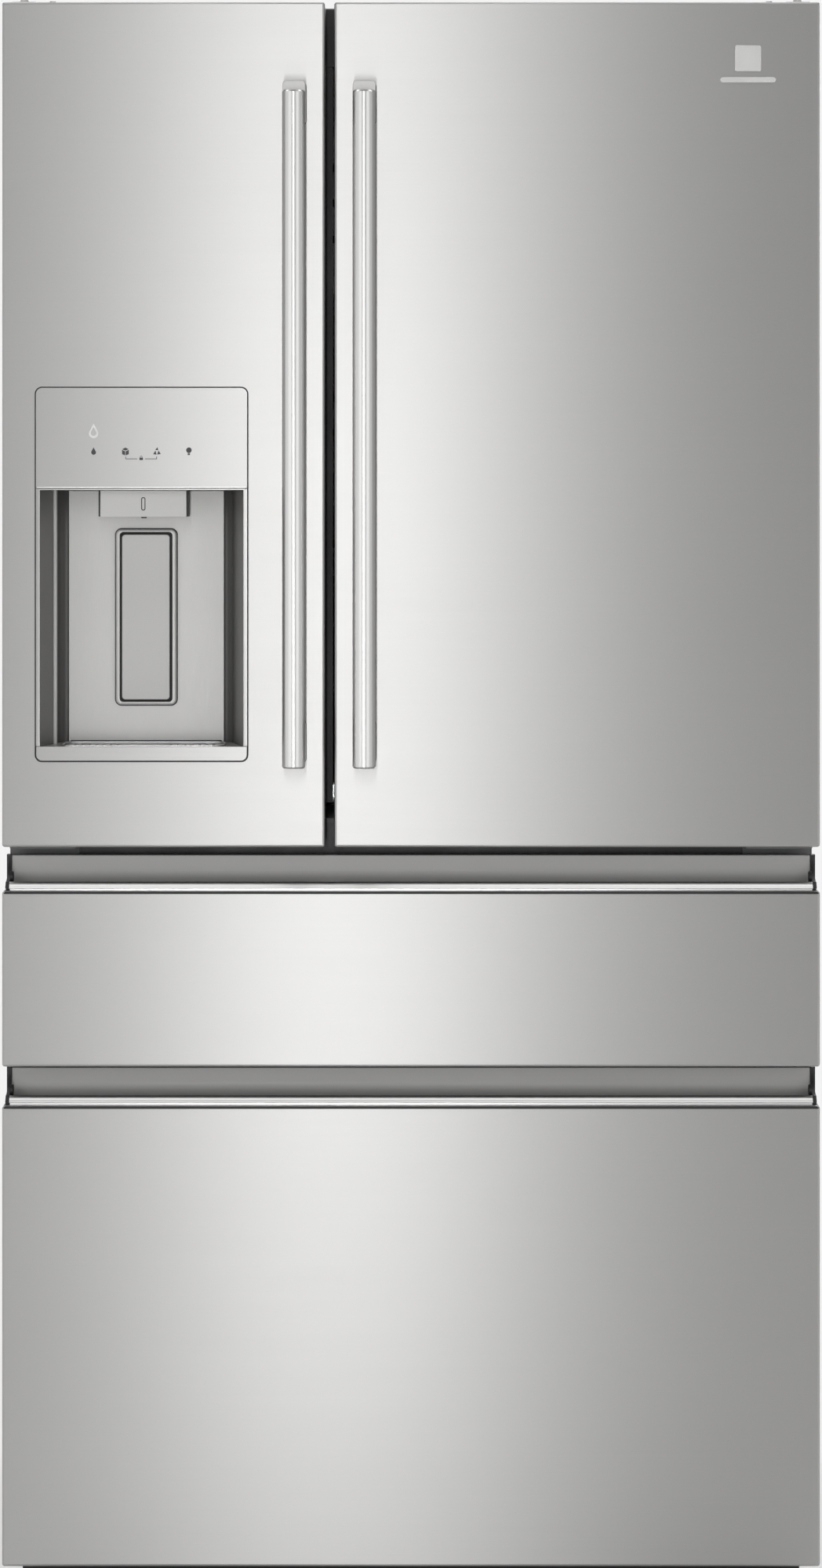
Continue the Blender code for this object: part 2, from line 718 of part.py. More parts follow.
def add_mid_hinge(side_name, side):
    """The bracket between a door and the drawer below it, with the lower door pin."""
    z = (0.8312, 0.8342)
    shelf = box(mirrored((0.3750, 0.4505), side), (0.0280, 0.0717), z, 0.004, 2, along(2))
    bracket = add_part(f"hinge_mid_{side_name}", shelf, GALVANISED, "cabinet")
    flange = box(mirrored((0.3750, 0.4505), side), (0.0687, 0.0717), (0.8195, 0.8330))
    pin = cylinder(2, (HINGE_X * side, HINGE_DEPTH, z[1] + 0.0110), PIN_RADIUS, 0.026)
    join(bracket, flange, pin)


def add_base():
    pan = add_part("base_pan", box((-0.430, 0.430), (0.095, 0.720), PAN_Z), GALVANISED, "cabinet")
    for side in (-1, 1):
        for inner, outer in ((0.3430, 0.3460), (0.3740, 0.3770)):
            fork = box(mirrored((inner, outer), side), (0.632, 0.648), (0.0085, 0.0420))
            join(pan, fork)
        axle = (ROLLER_X * side, ROLLER_DEPTH, ROLLER_RADIUS)
        join(pan, cylinder(0, axle, 0.0035, 0.0350, 12))
        add_roller("left" if side < 0 else "right", axle)
        add_foot("left" if side < 0 else "right", side)
    fan_x, fan_depth, fan_z = FAN_CENTRE
    post = box((fan_x - 0.006, fan_x + 0.006), (fan_depth + 0.030, fan_depth + 0.036), (0.042, fan_z))
    motor = cylinder(1, (fan_x, fan_depth + 0.028, fan_z), 0.018, 0.028)
    join(pan, post, motor)
    kick = add_part("kick_plate", box((-0.440, 0.440), (0.080, 0.084), (0.008, 0.0395)), DARK, "cabinet")
    for slot in range(12):
        x = -0.402 + 0.068 * slot
        cut(kick, box((x, x + 0.056), (0.070, 0.090), (0.018, 0.026)))


def add_roller(side_name, centre):
    body = "roller_" + side_name
    roller = add_part(body, cylinder(0, centre, ROLLER_RADIUS, 0.026, 24), DARK, body)
    cut(roller, cylinder(0, centre, 0.0042, 0.040, 16))


def add_foot(side_name, side):
    centre = (ROLLER_X * side, FOOT_DEPTH, 0.0040)
    foot = add_part("foot_" + side_name, cylinder(2, centre, 0.018, 0.008, 24), DARK, "cabinet")
    stem = cylinder(2, (centre[0], FOOT_DEPTH, 0.0233), 0.006, 0.0328, 12)
    join(foot, stem)


def add_machine():
    """The compressor and the fan that blows over it."""
    centre = (-0.240, 0.650, 0.1216)
    bm = bmesh.new()
    bmesh.ops.create_cone(
        bm,
        cap_ends=True,
        segments=24,
        radius1=0.068,
        radius2=0.068,
        depth=0.150,
        matrix=tube_matrix(2, centre),
    )
    ends = [e for e in bm.edges if abs(e.verts[0].co.z - e.verts[1].co.z) < 1e-6]
    bmesh.ops.bevel(bm, geom=ends, offset=0.030, segments=4, profile=0.5, affect="EDGES")
    add_part("compressor", mesh_from(bm), DARK, "cabinet")
    fan = add_part("condenser_fan", cylinder(1, FAN_CENTRE, 0.018, 0.020), DARK, "condenser_fan")
    for blade in range(5):
        shape = box((-0.014, 0.014), (-0.0012, 0.0012), (0.012, 0.072), 0.006, 2, along(1))
        shape.transform(Matrix.Translation((0.0, -FACE_Y, 0.0)))
        turn = Matrix.Rotation(math.radians(72 * blade), 4, "Y") @ Matrix.Rotation(0.5, 4, "Z")
        shape.transform(Matrix.Translation(place(FAN_CENTRE)) @ turn)
        join(fan, shape)


def add_shelves():
    x = (-LINER_HALF + 0.0006, LINER_HALF - 0.0006)
    for name, z in (
        ("shelf_upper", (1.450, 1.462)),
        ("shelf_lower", (1.205, 1.217)),
        ("crisper_cover", (1.020, 1.030)),
    ):
        add_part(name, box(x, (0.192, 0.670), z), GLASS, "cabinet")
    ice = box((-0.4074, -0.2150), (0.230, 0.670), (1.580, 1.7200), 0.008, 2, along(1))
    add_part("ice_maker", ice, LINER, "cabinet")
    for side_name, side in (("left", -1), ("right", 1)):
        name = "crisper_" + side_name
        add_bin(name, mirrored((0.004, 0.400), side), (0.240, 0.640), (0.8645, 1.0140), name)


def main():
    add_wrapper()
    add_liner()
    add_partitions()
    add_back()
    for side_name, side in (("left", -1), ("right", 1)):
        add_top_hinge(side_name, side)
        add_mid_hinge(side_name, side)
    add_base()
    add_machine()
    add_shelves()
    add_left_door()
    add_mullion_flap()
    add_right_door()
    for drawer in DRAWERS:
        add_drawer(drawer)
        add_rails(drawer, drawer.replace("drawer", "rails"))


main()
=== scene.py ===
"""Looks for a french door refrigerator: fine meshes, finishes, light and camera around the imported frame."""

import math

import bmesh
import bpy
from mathutils import Matrix, Vector


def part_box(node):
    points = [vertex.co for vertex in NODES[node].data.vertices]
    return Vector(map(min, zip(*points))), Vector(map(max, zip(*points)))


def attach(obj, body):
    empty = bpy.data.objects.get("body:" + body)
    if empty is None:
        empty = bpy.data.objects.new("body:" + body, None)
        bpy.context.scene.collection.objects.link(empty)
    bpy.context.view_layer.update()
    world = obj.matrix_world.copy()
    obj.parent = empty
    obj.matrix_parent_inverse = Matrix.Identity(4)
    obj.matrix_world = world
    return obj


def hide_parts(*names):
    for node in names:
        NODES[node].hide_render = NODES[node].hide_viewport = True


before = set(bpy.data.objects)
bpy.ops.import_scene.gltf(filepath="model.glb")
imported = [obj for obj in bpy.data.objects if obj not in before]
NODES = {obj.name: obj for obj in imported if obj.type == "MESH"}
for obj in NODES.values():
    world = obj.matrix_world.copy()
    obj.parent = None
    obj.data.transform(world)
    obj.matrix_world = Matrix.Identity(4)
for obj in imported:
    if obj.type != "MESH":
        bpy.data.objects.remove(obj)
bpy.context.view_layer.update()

FRONT_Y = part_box("left_door_skin")[0].y
SMOOTH_ANGLE = math.radians(32)
FIT = 0.0004
WELD = 1e-6
SIDES = ((-1, "left"), (1, "right"))

MATERIALS = {}


# Shader helpers


def new_tree(name):
    material = bpy.data.materials.new(name)
    material.use_nodes = True
    tree = material.node_tree
    MATERIALS[name] = material
    return tree, tree.nodes["Principled BSDF"]


def add_node(tree, kind):
    return tree.nodes.new(f"ShaderNode{kind}")


def link(tree, output, target):
    tree.links.new(output, target)


def coordinates(tree, scale):
    """Object coordinates in metres, scaled by one number or by three, one along each axis."""
    scale = scale if isinstance(scale, tuple) else (scale,) * 3
    source = add_node(tree, "TexCoord")
    mapping = add_node(tree, "Mapping")
    mapping.inputs["Scale"].default_value = scale
    link(tree, source.outputs["Object"], mapping.inputs["Vector"])
    return mapping.outputs["Vector"]


def noise(tree, scale, detail=3.0, roughness=0.55):
    """Noise from 0 to 1, with a feature size of about one over the scale along each axis."""
    node = add_node(tree, "TexNoise")
    node.inputs["Scale"].default_value = 1.0
    node.inputs["Detail"].default_value = detail
    node.inputs["Roughness"].default_value = roughness
    link(tree, coordinates(tree, scale), node.inputs["Vector"])
    return node.outputs["Fac"]


def cells(tree, scale):
    """A different value from 0 to 1 in each crystal-like cell."""
    node = add_node(tree, "TexVoronoi")
    node.inputs["Scale"].default_value = scale
    link(tree, coordinates(tree, 1), node.inputs["Vector"])
    split = add_node(tree, "SeparateColor")
    link(tree, node.outputs["Color"], split.inputs["Color"])
    return split.outputs[0]


def remap(tree, value, low, high, source=(0.3, 0.7)):
    node = add_node(tree, "MapRange")
    for socket, number in zip(node.inputs[1:5], (*source, low, high)):
        socket.default_value = number
    link(tree, value, node.inputs[0])
    return node.outputs[0]


def multiply(tree, first, second):
    node = add_node(tree, "Math")
    node.operation = "MULTIPLY"
    link(tree, first, node.inputs[0])
    if isinstance(second, float):
        node.inputs[1].default_value = second
    else:
        link(tree, second, node.inputs[1])
    return node.outputs[0]


def mix(tree, factor, first, second):
    """A mix of two colours, each a colour or a socket."""
    node = add_node(tree, "Mix")
    node.data_type = "RGBA"
    link(tree, factor, node.inputs[0])
    for socket, value in ((node.inputs[6], first), (node.inputs[7], second)):
        if isinstance(value, tuple):
            socket.default_value = (*value, 1.0)
        else:
            link(tree, value, socket)
    return node.outputs[2]


def worn_edges(tree, radius):
    """Rises from 0 on the flats to 1 along outer edges, broken up by noise."""
    bevel = add_node(tree, "Bevel")
    bevel.samples = 3
    bevel.inputs["Radius"].default_value = radius
    geometry = add_node(tree, "NewGeometry")
    dot = add_node(tree, "VectorMath")
    dot.operation = "DOT_PRODUCT"
    link(tree, bevel.outputs[0], dot.inputs[0])
    link(tree, geometry.outputs["Normal"], dot.inputs[1])
    edge = remap(tree, dot.outputs["Value"], 1.0, 0.0, (0.80, 0.985))
    return multiply(tree, edge, remap(tree, noise(tree, 90), 0.15, 1.0, (0.35, 0.7)))


def bump(tree, height, distance, below=None):
    node = add_node(tree, "Bump")
    node.inputs["Strength"].default_value = 1.0
    node.inputs["Distance"].default_value = distance
    link(tree, height, node.inputs["Height"])
    if below is not None:
        link(tree, below, node.inputs["Normal"])
    return node.outputs["Normal"]


def shifted(tone, amount):
    return tuple(max(0.0, value * (1 + amount)) for value in tone)


def finish(
    name,
    tone,
    rough,
    shift=0.06,
    patch=7,
    grain=600,
    relief=0.00001,
    wear=None,
    edge_wear_and_highlight_radius=0.0012,
    **sockets,
):
    """A surface with slow changes of tone and gloss, a fine relief, and lighter edges: wear, and on the brushed panel
    steel also a painted highlight.
    """
    tree, shader = new_tree(name)
    slow = noise(tree, patch)
    fine = noise(tree, grain, 2.0)
    colour = mix(tree, remap(tree, slow, 0.0, 1.0), shifted(tone, -shift), shifted(tone, shift))
    colour = mix(tree, remap(tree, fine, 0.0, 0.5), colour, shifted(tone, -1.5 * shift))
    if wear is not None:
        edge = worn_edges(tree, edge_wear_and_highlight_radius)
        colour = mix(tree, edge, colour, wear)
    link(tree, colour, shader.inputs["Base Color"])
    both = add_node(tree, "Math")
    both.operation = "ADD"
    link(tree, multiply(tree, slow, 0.5), both.inputs[0])
    link(tree, multiply(tree, fine, 0.5), both.inputs[1])
    link(tree, remap(tree, both.outputs[0], *rough), shader.inputs["Roughness"])
    link(tree, bump(tree, fine, relief), shader.inputs["Normal"])
    for socket, value in sockets.items():
        shader.inputs[socket.replace("_", " ")].default_value = value
    return tree, shader


def brushed(name, tone, rough, shift, strength, grain, relief, edge_wear_and_highlight_radius=0.0):
    """Brushed metal: streaks along the grain, and highlights that stretch across it."""
    # Given an edge radius, the edges turn lighter: partly wear, partly a painted highlight along the edges.
    tree, shader = finish(
        name, tone, rough, shift, (1.3, 1.3, 2.2), grain, relief,
        shifted(tone, 0.5) if edge_wear_and_highlight_radius else None, edge_wear_and_highlight_radius, Metallic=1.0,
    )
    shader.inputs["Anisotropic"].default_value = strength
    shader.inputs["Anisotropic Rotation"].default_value = 0.25
    tangent = add_node(tree, "Tangent")
    tangent.direction_type = "RADIAL"
    tangent.axis = "Z"
    link(tree, tangent.outputs["Tangent"], shader.inputs["Tangent"])
    return tree, shader


def clear(name, tone, rough, ior, relief):
    """Clear glass or plastic with a faint tint and fine marks."""
    tree, shader = finish(name, tone, rough, 0.02, relief=relief, Transmission_Weight=1.0)
    shader.inputs["IOR"].default_value = ior
    return tree, shader


STEEL = (0.60, 0.598, 0.592)
ACROSS = (5, 5, 1100)
CAP_DEPTH = 0.0578

brushed("stainless", STEEL, (0.39, 0.41), 0.012, 0.9, ACROSS, 0.0000015)
# The control panel steel: the same as the doors, but its lighter edges are partly wear and partly a painted edge
# highlight.
brushed("panel_grey", STEEL, (0.39, 0.41), 0.012, 0.9, ACROSS, 0.0000015, 0.0006)
finish("groove_steel", (0.44, 0.437, 0.430), (0.40, 0.48), 0.02, 2, ACROSS, 0.000002, Metallic=0.25)
finish("polished_steel", (0.80, 0.80, 0.79), (0.27, 0.29), 0.01, 3, (500, 500, 9), 0.0000002, Metallic=1.0,
       Specular_Tint=(0.4, 0.4, 0.4, 1.0))
finish("lip_steel", (0.86, 0.86, 0.85), (0.27, 0.31), 0.01, 3, (6, 900, 900), 0.000001, Metallic=1.0)
finish("grey_trim", (0.50, 0.497, 0.485), (0.34, 0.42), 0.02, 9, 900, 0.000004,
       (0.62, 0.62, 0.61), 0.0008, Metallic=0.35)
# Painted shade: this near-black tone on the recess side walls, ceiling and floor stands in for the shade that falls
# inside the dispenser recess, while its back plate stays light.
finish("recess_plastic", (0.15, 0.148, 0.145), (0.30, 0.38), 0.02, 5, (900, 900, 60), 0.000003,
       (0.30, 0.30, 0.29), 0.0008, Metallic=0.35)
finish("recess_back", (0.74, 0.735, 0.72), (0.32, 0.40), 0.02, 5, (900, 900, 60), 0.000003,
       (0.70, 0.695, 0.68), 0.0008, Metallic=0.2)
finish("spout_grey", (0.78, 0.775, 0.76), (0.30, 0.38), 0.015, 9, 900, 0.000003,
       (0.75, 0.75, 0.74), 0.0006)
finish("tray_grey", (0.50, 0.495, 0.48), (0.28, 0.36), 0.015, 9, 900, 0.000003,
       (0.66, 0.66, 0.65), 0.0008, Metallic=0.3)
finish("grey_paint", (0.155, 0.158, 0.162), (0.42, 0.52), 0.05, 3, 420, 0.00008,
       (0.24, 0.24, 0.245), 0.0016)
finish("white_liner", (0.80, 0.80, 0.79), (0.28, 0.36), 0.012, 4, 260, 0.000012,
       (0.86, 0.86, 0.855), 0.0015)
finish("seal_rubber", (0.045, 0.045, 0.047), (0.55, 0.68), 0.06, 12, 700, 0.00003)
finish("dark_plastic", (0.022, 0.022, 0.023), (0.42, 0.55), 0.12, 10, 520, 0.00005,
       (0.07, 0.07, 0.072), 0.001)
finish("tyre_grey", (0.10, 0.10, 0.105), (0.5, 0.62), 0.1, 30, 500, 0.00004)
finish("black_paint", (0.012, 0.012, 0.013), (0.30, 0.45), 0.12, 20, 300, 0.00006,
       (0.06, 0.06, 0.06), 0.0015)
finish("screw_steel", (0.62, 0.61, 0.59), (0.26, 0.36), 0.06, 60, 900, 0.00001,
       (0.72, 0.71, 0.70), 0.0006, Metallic=1.0)
finish("copper", (0.62, 0.30, 0.17), (0.28, 0.42), 0.14, 25, 600, 0.00001, Metallic=1.0)
finish("mark_white", (0.98, 0.98, 0.97), (0.30, 0.40), 0.02)
finish("mark_dark", (0.055, 0.055, 0.058), (0.35, 0.45), 0.08)
finish("badge_steel", (0.92, 0.92, 0.91), (0.20, 0.28), 0.015, 30, 900, 0.0000002,
       (0.94, 0.94, 0.93), 0.0003, Metallic=0.35)
finish("light_trim", (0.74, 0.735, 0.72), (0.32, 0.40), 0.02, 9, 900, 0.000002,
       (0.86, 0.86, 0.85), 0.0008, Metallic=0.3)
clear("clear_plastic", (0.93, 0.95, 0.955), (0.04, 0.09), 1.42, 0.000004)
clear("glass", (0.93, 0.965, 0.95), (0.015, 0.03), 1.5, 0.000001)


def add_spangle(name, tone):
    """Hot-dip galvanised sheet: flakes of slightly different grey."""
    tree, shader = finish(name, tone, (0.36, 0.50), 0.04, 14, 500, 0.00001,
                          shifted(tone, 0.3), 0.001, Metallic=0.9)
    flakes = mix(tree, cells(tree, 160.0), shifted(tone, -0.14), shifted(tone, 0.12))
    link(tree, flakes, shader.inputs["Base Color"])


add_spangle("galvanised", (0.56, 0.57, 0.575))


def add_two_tone(name, front, rear, limit):
    """A foamed body in two mouldings: an end cap in front of a depth and a white panel behind it."""
    tree, shader = finish(name, rear, (0.28, 0.36), 0.012, 4, 260, 0.000012,
                          (0.86, 0.86, 0.855), 0.0015)
    white = shader.inputs["Base Color"].links[0].from_socket
    split = add_node(tree, "SeparateXYZ")
    link(tree, coordinates(tree, 1), split.inputs[0])
    depth = remap(tree, split.outputs[1], 0.0, 1.0, (limit - 0.0001, limit + 0.0001))
    cap = mix(tree, remap(tree, noise(tree, 500), 0.0, 1.0), shifted(front, -0.1), shifted(front, 0.1))
    link(tree, mix(tree, depth, cap, white), shader.inputs["Base Color"])


add_two_tone("door_body", (0.030, 0.030, 0.031), (0.80, 0.80, 0.79), FRONT_Y + CAP_DEPTH)


def add_glow(name, tone, strength):
    tree, shader = finish(name, tone, (0.3, 0.4), 0.01)
    shader.inputs["Emission Color"].default_value = (*tone, 1.0)
    shader.inputs["Emission Strength"].default_value = strength


add_glow("lens", (0.92, 0.94, 0.95), 1.6)


# Mesh helpers


def add_object(name, data):
    made = bpy.data.objects.new(name, data)
    bpy.context.scene.collection.objects.link(made)
    return made


def to_object(name, bm):
    mesh = bpy.data.meshes.new(name)
    bm.normal_update()
    bm.to_mesh(mesh)
    bm.free()
    return add_object(name, mesh)


def baked(source):
    """The object's mesh with its modifiers applied, or a curve turned into a mesh."""
    name = source.name
    bpy.context.view_layer.update()
    mesh = bpy.data.meshes.new_from_object(source.evaluated_get(bpy.context.evaluated_depsgraph_get()))
    bpy.data.objects.remove(source)
    return add_object(name, mesh)


def welded(bm):
    bmesh.ops.remove_doubles(bm, verts=bm.verts, dist=WELD)
    bmesh.ops.dissolve_degenerate(bm, dist=WELD, edges=bm.edges)
    bmesh.ops.recalc_face_normals(bm, faces=bm.faces)


def solid_of(curve, place=Matrix.Identity(4)):
    """A closed mesh of a curve, moved to its place and free of doubled points."""
    made = baked(add_object(curve.name, curve))
    made.data.transform(place)
    bm = bmesh.new()
    bm.from_mesh(made.data)
    welded(bm)
    bm.to_mesh(made.data)
    bm.free()
    return made


def cube(low, high):
    """The mesh of a box between two corners, still open to edits."""
    bm = bmesh.new()
    bmesh.ops.create_cube(bm, size=1.0)
    place = Matrix.Translation((low + high) / 2) @ Matrix.Diagonal((*(high - low), 1))
    bmesh.ops.transform(bm, matrix=place, verts=bm.verts)
    return bm


def block(low, high, radius=0.0, segments=3):
    """A box between two corners, with all its edges rounded."""
    bm = cube(Vector(low), Vector(high))
    if radius:
        bmesh.ops.bevel(bm, geom=bm.edges[:], offset=radius, segments=segments, profile=0.5, affect="EDGES")
    return to_object("block", bm)


PLANES = {
    "X": Matrix(((0, 0, 1, 0), (1, 0, 0, 0), (0, 1, 0, 0), (0, 0, 0, 1))),
    "Y": Matrix(((1, 0, 0, 0), (0, 0, -1, 0), (0, 1, 0, 0), (0, 0, 0, 1))),
    "Z": Matrix.Identity(4),
}


def plate(axis, outlines, span, edge=0.0, steps=2):
    """Closed outlines across an axis, filled over the span along it, with its edges rounded.

    Points are (y, z) across X, (x, z) across Y and (x, y) across Z. An outline inside another is a hole.
    """
    curve = bpy.data.curves.new("plate", "CURVE")
    curve.dimensions = "2D"
    curve.fill_mode = "BOTH"
    half = (span[1] - span[0]) / 2
    curve.extrude = half - edge
    curve.bevel_depth = edge
    curve.bevel_resolution = steps
    curve.offset = -edge
    for outline in outlines:
        spline = curve.splines.new("POLY")
        spline.points.add(len(outline) - 1)
        for point, (across, up) in zip(spline.points, outline):
            point.co = (across, up, 0, 1)
        spline.use_cyclic_u = True
    middle = sum(span) / 2
    shift = {"X": (middle, 0, 0), "Y": (0, middle, 0), "Z": (0, 0, middle)}[axis]
    return solid_of(curve, Matrix.Translation(shift) @ PLANES[axis])


def lathe(axis, centre, profile, segments=32):
    """A closed solid turned about an axis through a centre. Profile points are (radius, distance along the axis)."""
    bm = bmesh.new()
    rings = []
    for radius, along in profile:
        turns = [2 * math.pi * step / segments for step in range(segments)]
        rings.append([bm.verts.new((radius * math.cos(a), radius * math.sin(a), along)) for a in turns])
    for below, above in zip(rings, rings[1:]):
        for i in range(segments):
            j = (i + 1) % segments
            bm.faces.new((below[i], below[j], above[j], above[i]))
    bm.faces.new(reversed(rings[0]))
    bm.faces.new(rings[-1])
    bmesh.ops.transform(bm, matrix=Matrix.Translation(centre) @ PLANES[axis], verts=bm.verts)
    welded(bm)
    return to_object("lathe", bm)


def tube(points, radius, sides):
    """A round rod along a smooth path."""
    curve = bpy.data.curves.new("tube", "CURVE")
    curve.dimensions = "3D"
    curve.bevel_depth = radius
    curve.bevel_resolution = sides
    curve.use_fill_caps = True
    spline = curve.splines.new("POLY")
    spline.points.add(len(points) - 1)
    for point, place in zip(spline.points, points):
        point.co = (*place, 1)
    return solid_of(curve)


def merged(first, *others):
    """One object of several, each left a closed shell of its own."""
    bm = bmesh.new()
    for piece in (first, *others):
        bm.from_mesh(piece.data)
    bm.to_mesh(first.data)
    bm.free()
    for piece in others:
        bpy.data.objects.remove(piece)
    return first


def combine(target, operation, *tools):
    for tool in tools:
        modifier = target.modifiers.new("combine", "BOOLEAN")
        modifier.operation = operation
        modifier.solver = "EXACT"
        modifier.object = tool
    made = baked(target)
    for tool in tools:
        bpy.data.objects.remove(tool)
    return made


def carve(target, *tools):
    return combine(target, "DIFFERENCE", *tools)


def join(target, *tools):
    return combine(target, "UNION", *tools)


def moved(piece, x=0.0, y=0.0, z=0.0):
    piece.data.transform(Matrix.Translation((x, y, z)))
    return piece


def mirror_x(piece, centre=0.0):
    """The same piece the other way round, about a plane across X."""
    bm = bmesh.new()
    bm.from_mesh(piece.data)
    bmesh.ops.transform(bm, matrix=Matrix.Diagonal((-1, 1, 1, 1)), verts=bm.verts)
    bmesh.ops.translate(bm, vec=(2 * centre, 0, 0), verts=bm.verts)
    bmesh.ops.reverse_faces(bm, faces=bm.faces)
    bm.to_mesh(piece.data)
    bm.free()
    return piece


def dress(made, material):
    """Gives a mesh its finish, smooth but for its sharp edges."""
    made.data.materials.clear()
    made.data.materials.append(MATERIALS[material])
    made.data.polygons.foreach_set("use_smooth", [True] * len(made.data.polygons))
    made.data.set_sharp_from_angle(angle=SMOOTH_ANGLE)


def weigh_normals(made):
    """Keeps large flats flat where a round edge meets them."""
    normals = made.modifiers.new("normals", "WEIGHTED_NORMAL")
    normals.keep_sharp = True
    normals.weight = 100


def piece(made, name, material, body="cabinet", slot=None, *nodes):
    """Names a mesh, gives it its finish and makes it ride on a body, in place of the CAD nodes named.

    The slot argument is not used.
    """
    made.name = name
    made.data.name = name
    dress(made, material)
    weigh_normals(made)
    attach(made, body)
    if nodes:
        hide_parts(*nodes)
    return made


# Outlines


def arc(centre, radius, start, end, steps):
    """Points on an arc, from one angle to another in degrees."""
    turns = [math.radians(start + (end - start) * step / steps) for step in range(steps + 1)]
    return [(centre[0] + radius * math.cos(a), centre[1] + radius * math.sin(a)) for a in turns]


def rounded(across, up, radius, steps=8):
    """A rectangle with round corners. The radius is one number, or four from the lower left, anticlockwise."""
    radii = (radius,) * 4 if isinstance(radius, float) else radius
    corners = ((across[0], up[0]), (across[1], up[0]), (across[1], up[1]), (across[0], up[1]))
    signs = ((1, 1), (-1, 1), (-1, -1), (1, -1))
    points = []
    for index, (corner, sign, r) in enumerate(zip(corners, signs, radii)):
        if r <= 0:
            points.append(corner)
            continue
        centre = (corner[0] + sign[0] * r, corner[1] + sign[1] * r)
        points += arc(centre, r, 180 + 90 * index, 270 + 90 * index, steps)
    return points


def circle(centre, radius, steps):
    return arc(centre, radius, 0, 360 - 360 / steps, steps - 1)


def slab(axis, across, up, radius, span, edge=0.0, steps=2, corner=8):
    """A plate with one outline, a rectangle with round corners."""
    return plate(axis, [rounded(across, up, radius, corner)], span, edge, steps)


def span_of(node, axis):
    low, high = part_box(node)
    return low[axis], high[axis]


def inset(pair, amount):
    return pair[0] + amount, pair[1] - amount


def behind_front(near, far):
    """A span in depth, measured from the plane of the door fronts."""
    return FRONT_Y + near, FRONT_Y + far


def around(middle, half):
    return middle - half, middle + half


def placed(across, up, points):
    """The points, moved to a place."""
    return [(across + x, up + z) for x, z in points]


# Doors and drawer fronts


SHEET = 0.0012
EDGE_ROUND = 0.003
DOOR_FOLD = 0.015
DRAWER_FOLD = 0.008
HOLE_GAP = 0.0013


def pan(node, fold, holes=()):
    """A folded sheet: a front with round edges, sides, and short folds along the top and the foot."""
    low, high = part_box(node)
    front = low.y
    bm = cube(low, high)
    picked = [edge for edge in bm.edges if any(abs(vert.co.y - front) < 1e-6 for vert in edge.verts)]
    bmesh.ops.bevel(bm, geom=picked, offset=EDGE_ROUND, segments=6, profile=0.5, affect="EDGES")
    plane = {"plane_co": (0, front + fold, 0), "plane_no": (0, 1, 0)}
    bmesh.ops.bisect_plane(bm, geom=bm.verts[:] + bm.edges[:] + bm.faces[:], **plane)
    bm.normal_update()

    def open_side(face):
        centre = face.calc_center_median()
        behind_fold = centre.y > front + fold and abs(face.normal.z) > 0.7
        return behind_fold or face.normal.y > 0.7

    bmesh.ops.delete(bm, geom=[face for face in bm.faces if open_side(face)], context="FACES")
    sheet = to_object("pan", bm)
    solid = sheet.modifiers.new("sheet", "SOLIDIFY")
    solid.thickness = SHEET
    solid.offset = -1
    solid.use_quality_normals = True
    sheet = baked(sheet)
    return carve(sheet, *holes) if holes else sheet


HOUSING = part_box("dispenser_housing")
FRAME_X = (HOUSING[0].x, HOUSING[1].x)
FRAME_Z = (HOUSING[0].z, HOUSING[1].z)
FRAME_CORNER = 0.007

hole = plate(
    "Y",
    [rounded(inset(FRAME_X, -HOLE_GAP), inset(FRAME_Z, -HOLE_GAP), FRAME_CORNER + HOLE_GAP)],
    behind_front(-0.01, 0.02),
)
for side, holes in (("left", (hole,)), ("right", ())):
    body = f"{side}_door"
    piece(pan(f"{body}_skin", DOOR_FOLD, holes), f"{body}_sheet", "stainless", body, "stainless", f"{body}_skin")
for level in ("upper", "lower"):
    body = f"{level}_drawer"
    sheet = pan(f"{body}_skin", DRAWER_FOLD)
    low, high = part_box(f"{body}_skin")
    # Painted shadow: a notch in the top of the drawer sheet is filled with dark plastic, standing in for the shadow
    # in the reveal under the bright lip.
    notch = block((low.x - 0.01, FRONT_Y - 0.001, high.z - 0.0028), (high.x + 0.01, FRONT_Y + 0.0044, high.z + 0.001))
    piece(carve(sheet, notch), f"{body}_sheet", "stainless", body, "stainless", f"{body}_skin")
    seal = [(0.0008, -0.0027), (0.0012, -0.0003), (0.0043, -0.0003), (0.0043, -0.0027)]
    seal = placed(FRONT_Y, high.z, seal)
    piece(plate("X", [seal], inset((low.x, high.x), 0.0030)), f"{body}_lip_shadow_strip", "dark_plastic", body)


def add_handle(side):
    """An oval polished bar with square-cut, chamfered ends, on two flat stand-offs."""
    body = f"{side}_door"
    low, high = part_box(f"{side}_handle")
    centre = (low + high) / 2
    half = (high - low) / 2
    chamfer = 0.0019
    section = [
        (centre.x + half.x * math.cos(a), centre.y + half.y * math.sin(a))
        for a in (2 * math.pi * step / 72 for step in range(72))
    ]
    bar = plate("Z", [section], (low.z, high.z), chamfer, 0)
    piece(bar, f"{side}_bar", "polished_steel", body, "polished_steel", f"{side}_handle")
    for end in ("top", "bottom"):
        node = f"{side}_handle_mount_{end}"
        low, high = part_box(node)
        block_face = rounded((low.x, high.x), (low.z, high.z), 0.004)
        stand_off = plate("Y", [block_face], (low.y, high.y), 0.0008)
        piece(stand_off, f"{node}_block", "light_trim", body, "grey_trim", node)
        foot = slab("Y", (low.x - 0.0006, high.x + 0.0006), (low.z - 0.0006, high.z + 0.0006), 0.0045,
                    behind_front(-0.0012, -0.00035), 0.0003)
        piece(foot, f"{node}_washer", "dark_plastic", body)


add_handle("left")
add_handle("right")


# Dispenser


